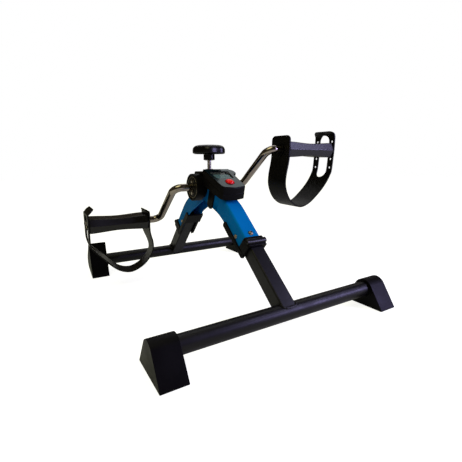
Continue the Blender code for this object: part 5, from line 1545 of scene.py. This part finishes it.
@dataclass
class Studio:
    """Pale floor, soft lamps, white surroundings and the camera at the photograph's place."""

    camera_place: Corner = (-0.2917, -0.5395, 0.2334)
    azimuth: float = radians(-31.251)
    elevation: float = radians(11.386)
    roll: float = radians(-0.346)
    lens: float = 25.354
    sensor: float = 36.0
    ambient: Colour = (0.52, 0.52, 0.32)
    floor_colour: Colour = (0.55, 0.55, 0.60)
    floor_half: float = 6.0
    floor_glow: float = 0.82
    glow_in_gloss: float = 0.1
    dome_colour: Colour = (0.11, 0.09, 0.07)
    dome_radius: float = 2.0
    dome_rise: Span = (radians(3), radians(84))
    opening: Span = (radians(10), radians(80))
    opening_rise: Span = (radians(33), radians(70))

    def build(self) -> None:
        """Builds the camera, the floor, the surroundings and the lamps."""
        bpy.context.scene.view_settings.view_transform = "Standard"
        self.camera()
        self.floor()
        self.world()
        self.screen()
        self.lamp("top_softbox", (-0.50, -0.35, 1.45), (0, -0.05, 0.12), 0.9, 5.0, (1.0, 0.98, 0.55))
        self.lamp("lilac_softbox", (0.95, -1.08, 0.50), (0.05, -0.07, 0.15), 0.45, 11.0, (0.55, 0.50, 1.0))
        self.lamp("pedal_softbox", (0.90, -0.83, 1.03), (0.157, -0.087, 0.261), 0.40, 4.5, (0.62, 0.60, 1.0))

    def camera(self) -> None:
        """Places the camera."""
        a, e, r = self.azimuth, self.elevation, self.roll
        back = Vector((sin(a) * cos(e), -cos(a) * cos(e), sin(e)))
        level = (-back).cross(Vector((0, 0, 1))).normalized()
        up = level.cross(-back)
        axes = Matrix((level * cos(r) + up * sin(r), -level * sin(r) + up * cos(r), back)).transposed()
        data = bpy.data.cameras.new("camera")
        data.lens = self.lens
        data.sensor_width = self.sensor
        data.clip_start = 0.01
        item = stand("camera", data)
        item.matrix_world = at(*self.camera_place) @ axes.to_4x4()
        bpy.context.scene.camera = item

    @staticmethod
    def seen_directly(graph: Graph, in_gloss: float = 1.0) -> bpy.types.NodeSocket:
        """A mask of camera and transmission rays, and of glossy rays by a share."""
        path = graph.add("LightPath").outputs
        gloss = graph.maths("MULTIPLY", path["Is Glossy Ray"], in_gloss)
        shown = graph.maths("MAXIMUM", path["Is Camera Ray"], gloss)
        return graph.maths("MAXIMUM", shown, path["Is Transmission Ray"])

    def screen(self) -> None:
        """Stands a dark dome, open behind, which only gloss and bright metal show."""
        wall = Shape()
        low, high = self.dome_rise
        rises = [low + (high - low) * k / 24 for k in range(25)]
        ribs = [wall.bm.verts.new((self.dome_radius * cos(a), 0, self.dome_radius * sin(a))) for a in rises]
        edges = [wall.bm.edges.new(pair) for pair in zip(ribs, ribs[1:])]
        bmesh.ops.spin(wall.bm, geom=[*ribs, *edges], cent=(0, 0, 0), axis=(0, 0, 1), angle=2 * pi, steps=72)
        gone = [f for f in wall.bm.faces if self.is_open(f.calc_center_median())]
        bmesh.ops.delete(wall.bm, geom=gone, context="FACES")
        item = self.set_up(wall, "dark_screen", Finish("dark_screen", self.dome_colour, 0.9, 0.0).material())
        item.visible_camera = item.visible_diffuse = item.visible_shadow = item.visible_transmission = False

    def is_open(self, point: Vector) -> bool:
        """Whether a point of the dome lies in its opening behind the exerciser."""
        turn, rise = atan2(point.y, point.x), atan2(point.z, hypot(point.x, point.y))
        return self.opening[0] < turn < self.opening[1] and self.opening_rise[0] < rise < self.opening_rise[1]

    def floor(self) -> None:
        """Lays the floor, which shows white and keeps the shadow."""
        ground = Shape()
        bmesh.ops.create_grid(ground.bm, x_segments=1, y_segments=1, size=self.floor_half)
        material = bpy.data.materials.new("pale_floor")
        graph = Graph.emptied(material)
        paint = graph.feed(graph.add("BsdfDiffuse"), Color=self.floor_colour)
        strength = graph.maths("MULTIPLY", self.seen_directly(graph, self.glow_in_gloss), self.floor_glow)
        glow = graph.feed(graph.add("Emission"), Strength=strength)
        both = graph.feed(graph.add("AddShader"), paint.outputs[0], glow.outputs[0])
        graph.feed(graph.add("OutputMaterial"), Surface=both.outputs[0])
        self.set_up(ground, "floor", material).location.z = -0.0002

    @staticmethod
    def set_up(shape: Shape, name: str, material: bpy.types.Material) -> bpy.types.Object:
        """Stands a shape in the studio as part of the stage."""
        item = stand(name, shape.mesh(name))
        item.data.materials.append(material)
        return item

    def world(self) -> None:
        """Makes the surroundings white to look at and soft as light."""
        world = bpy.data.worlds.new("surroundings")
        graph = Graph.emptied(world)
        colour = graph.blend(self.seen_directly(graph), self.ambient, WHITE)
        graph.feed(graph.add("OutputWorld"), Surface=graph.feed(graph.add("Background"), Color=colour).outputs[0])
        bpy.context.scene.world = world

    @staticmethod
    def lamp(name: str, place: Corner, target: Corner, size: float, power: float, colour: Colour) -> None:
        """Hangs a square soft lamp.

        Args:
            name: Its name.
            place: Where it hangs.
            target: What it points at.
            size: Its side.
            power: Its power in watts.
            colour: Its colour.
        """
        data = bpy.data.lights.new(name, "AREA")
        data.shape, data.size, data.energy, data.color = "SQUARE", size, power, colour
        item = stand(name, data)
        item.location = place
        item.rotation_mode = "QUATERNION"
        item.rotation_quaternion = (Vector(target) - Vector(place)).to_track_quat("-Z", "Y")


def dress_cad_nodes() -> None:
    """Gives every CAD node that still shows its own finish."""
    by_slot = {finish.slot: finish for finish in FINISHES}
    for name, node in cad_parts.items():
        if not node.hide_render:
            for holder in node.material_slots:
                holder.material = by_slot[holder.material.name.split(".")[0]].material()
            log.info("node %s dressed", name)


REAR_LEFT_CAP_TURN = radians(105.6)
LEFT_LOOP = ((-0.0070, -0.045), (-0.0065, -0.064), (0.0030, -0.0830), (0.0180, -0.0970), (0.0370, -0.1045),
             (0.0555, -0.1003), (0.0713, -0.0883), (0.0862, -0.0713), (0.1056, -0.0467))
LEFT_TIP = ((0.1080, 0.0228), (0.1042, 0.0272), (0.0990, 0.0318))
RIGHT_INNER_TOP = ((-0.0009, 0.0240), (-0.0014, 0.0205), (-0.00155, 0.0165))


def main() -> None:
    """Builds the exerciser's looks in order."""
    logging.basicConfig(level=logging.INFO, format="%(name)s: %(message)s")
    Studio().build()
    for leg in (FRONT, REAR):
        BaseBar(leg).build()
        for hand in Hand:
            is_rear_left = leg is REAR and hand is Hand.RIGHT
            EndCap(leg, hand, REAR_LEFT_CAP_TURN if is_rear_left else 0.0).build()
        LegTube(leg).build()
        FoldingArm(leg).build()
        HingeFittings(leg).build()
    Hub().build()
    cranks = CrankSet()
    cranks.build()
    for hand in Hand:
        Pedal(hand, cranks).build()
    PedalStrap(Hand.LEFT, cranks, 0.1000, loop=LEFT_LOOP, tip=LEFT_TIP, slot_top=0.0195, twist=radians(9.0),
               roll=radians(6.0)).build()
    PedalStrap(Hand.RIGHT, cranks, 0.105, inner_top=RIGHT_INNER_TOP).build()
    TensionKnob().build()
    CounterConsole().build()
    dress_cad_nodes()


if __name__ == "__main__":
    main()
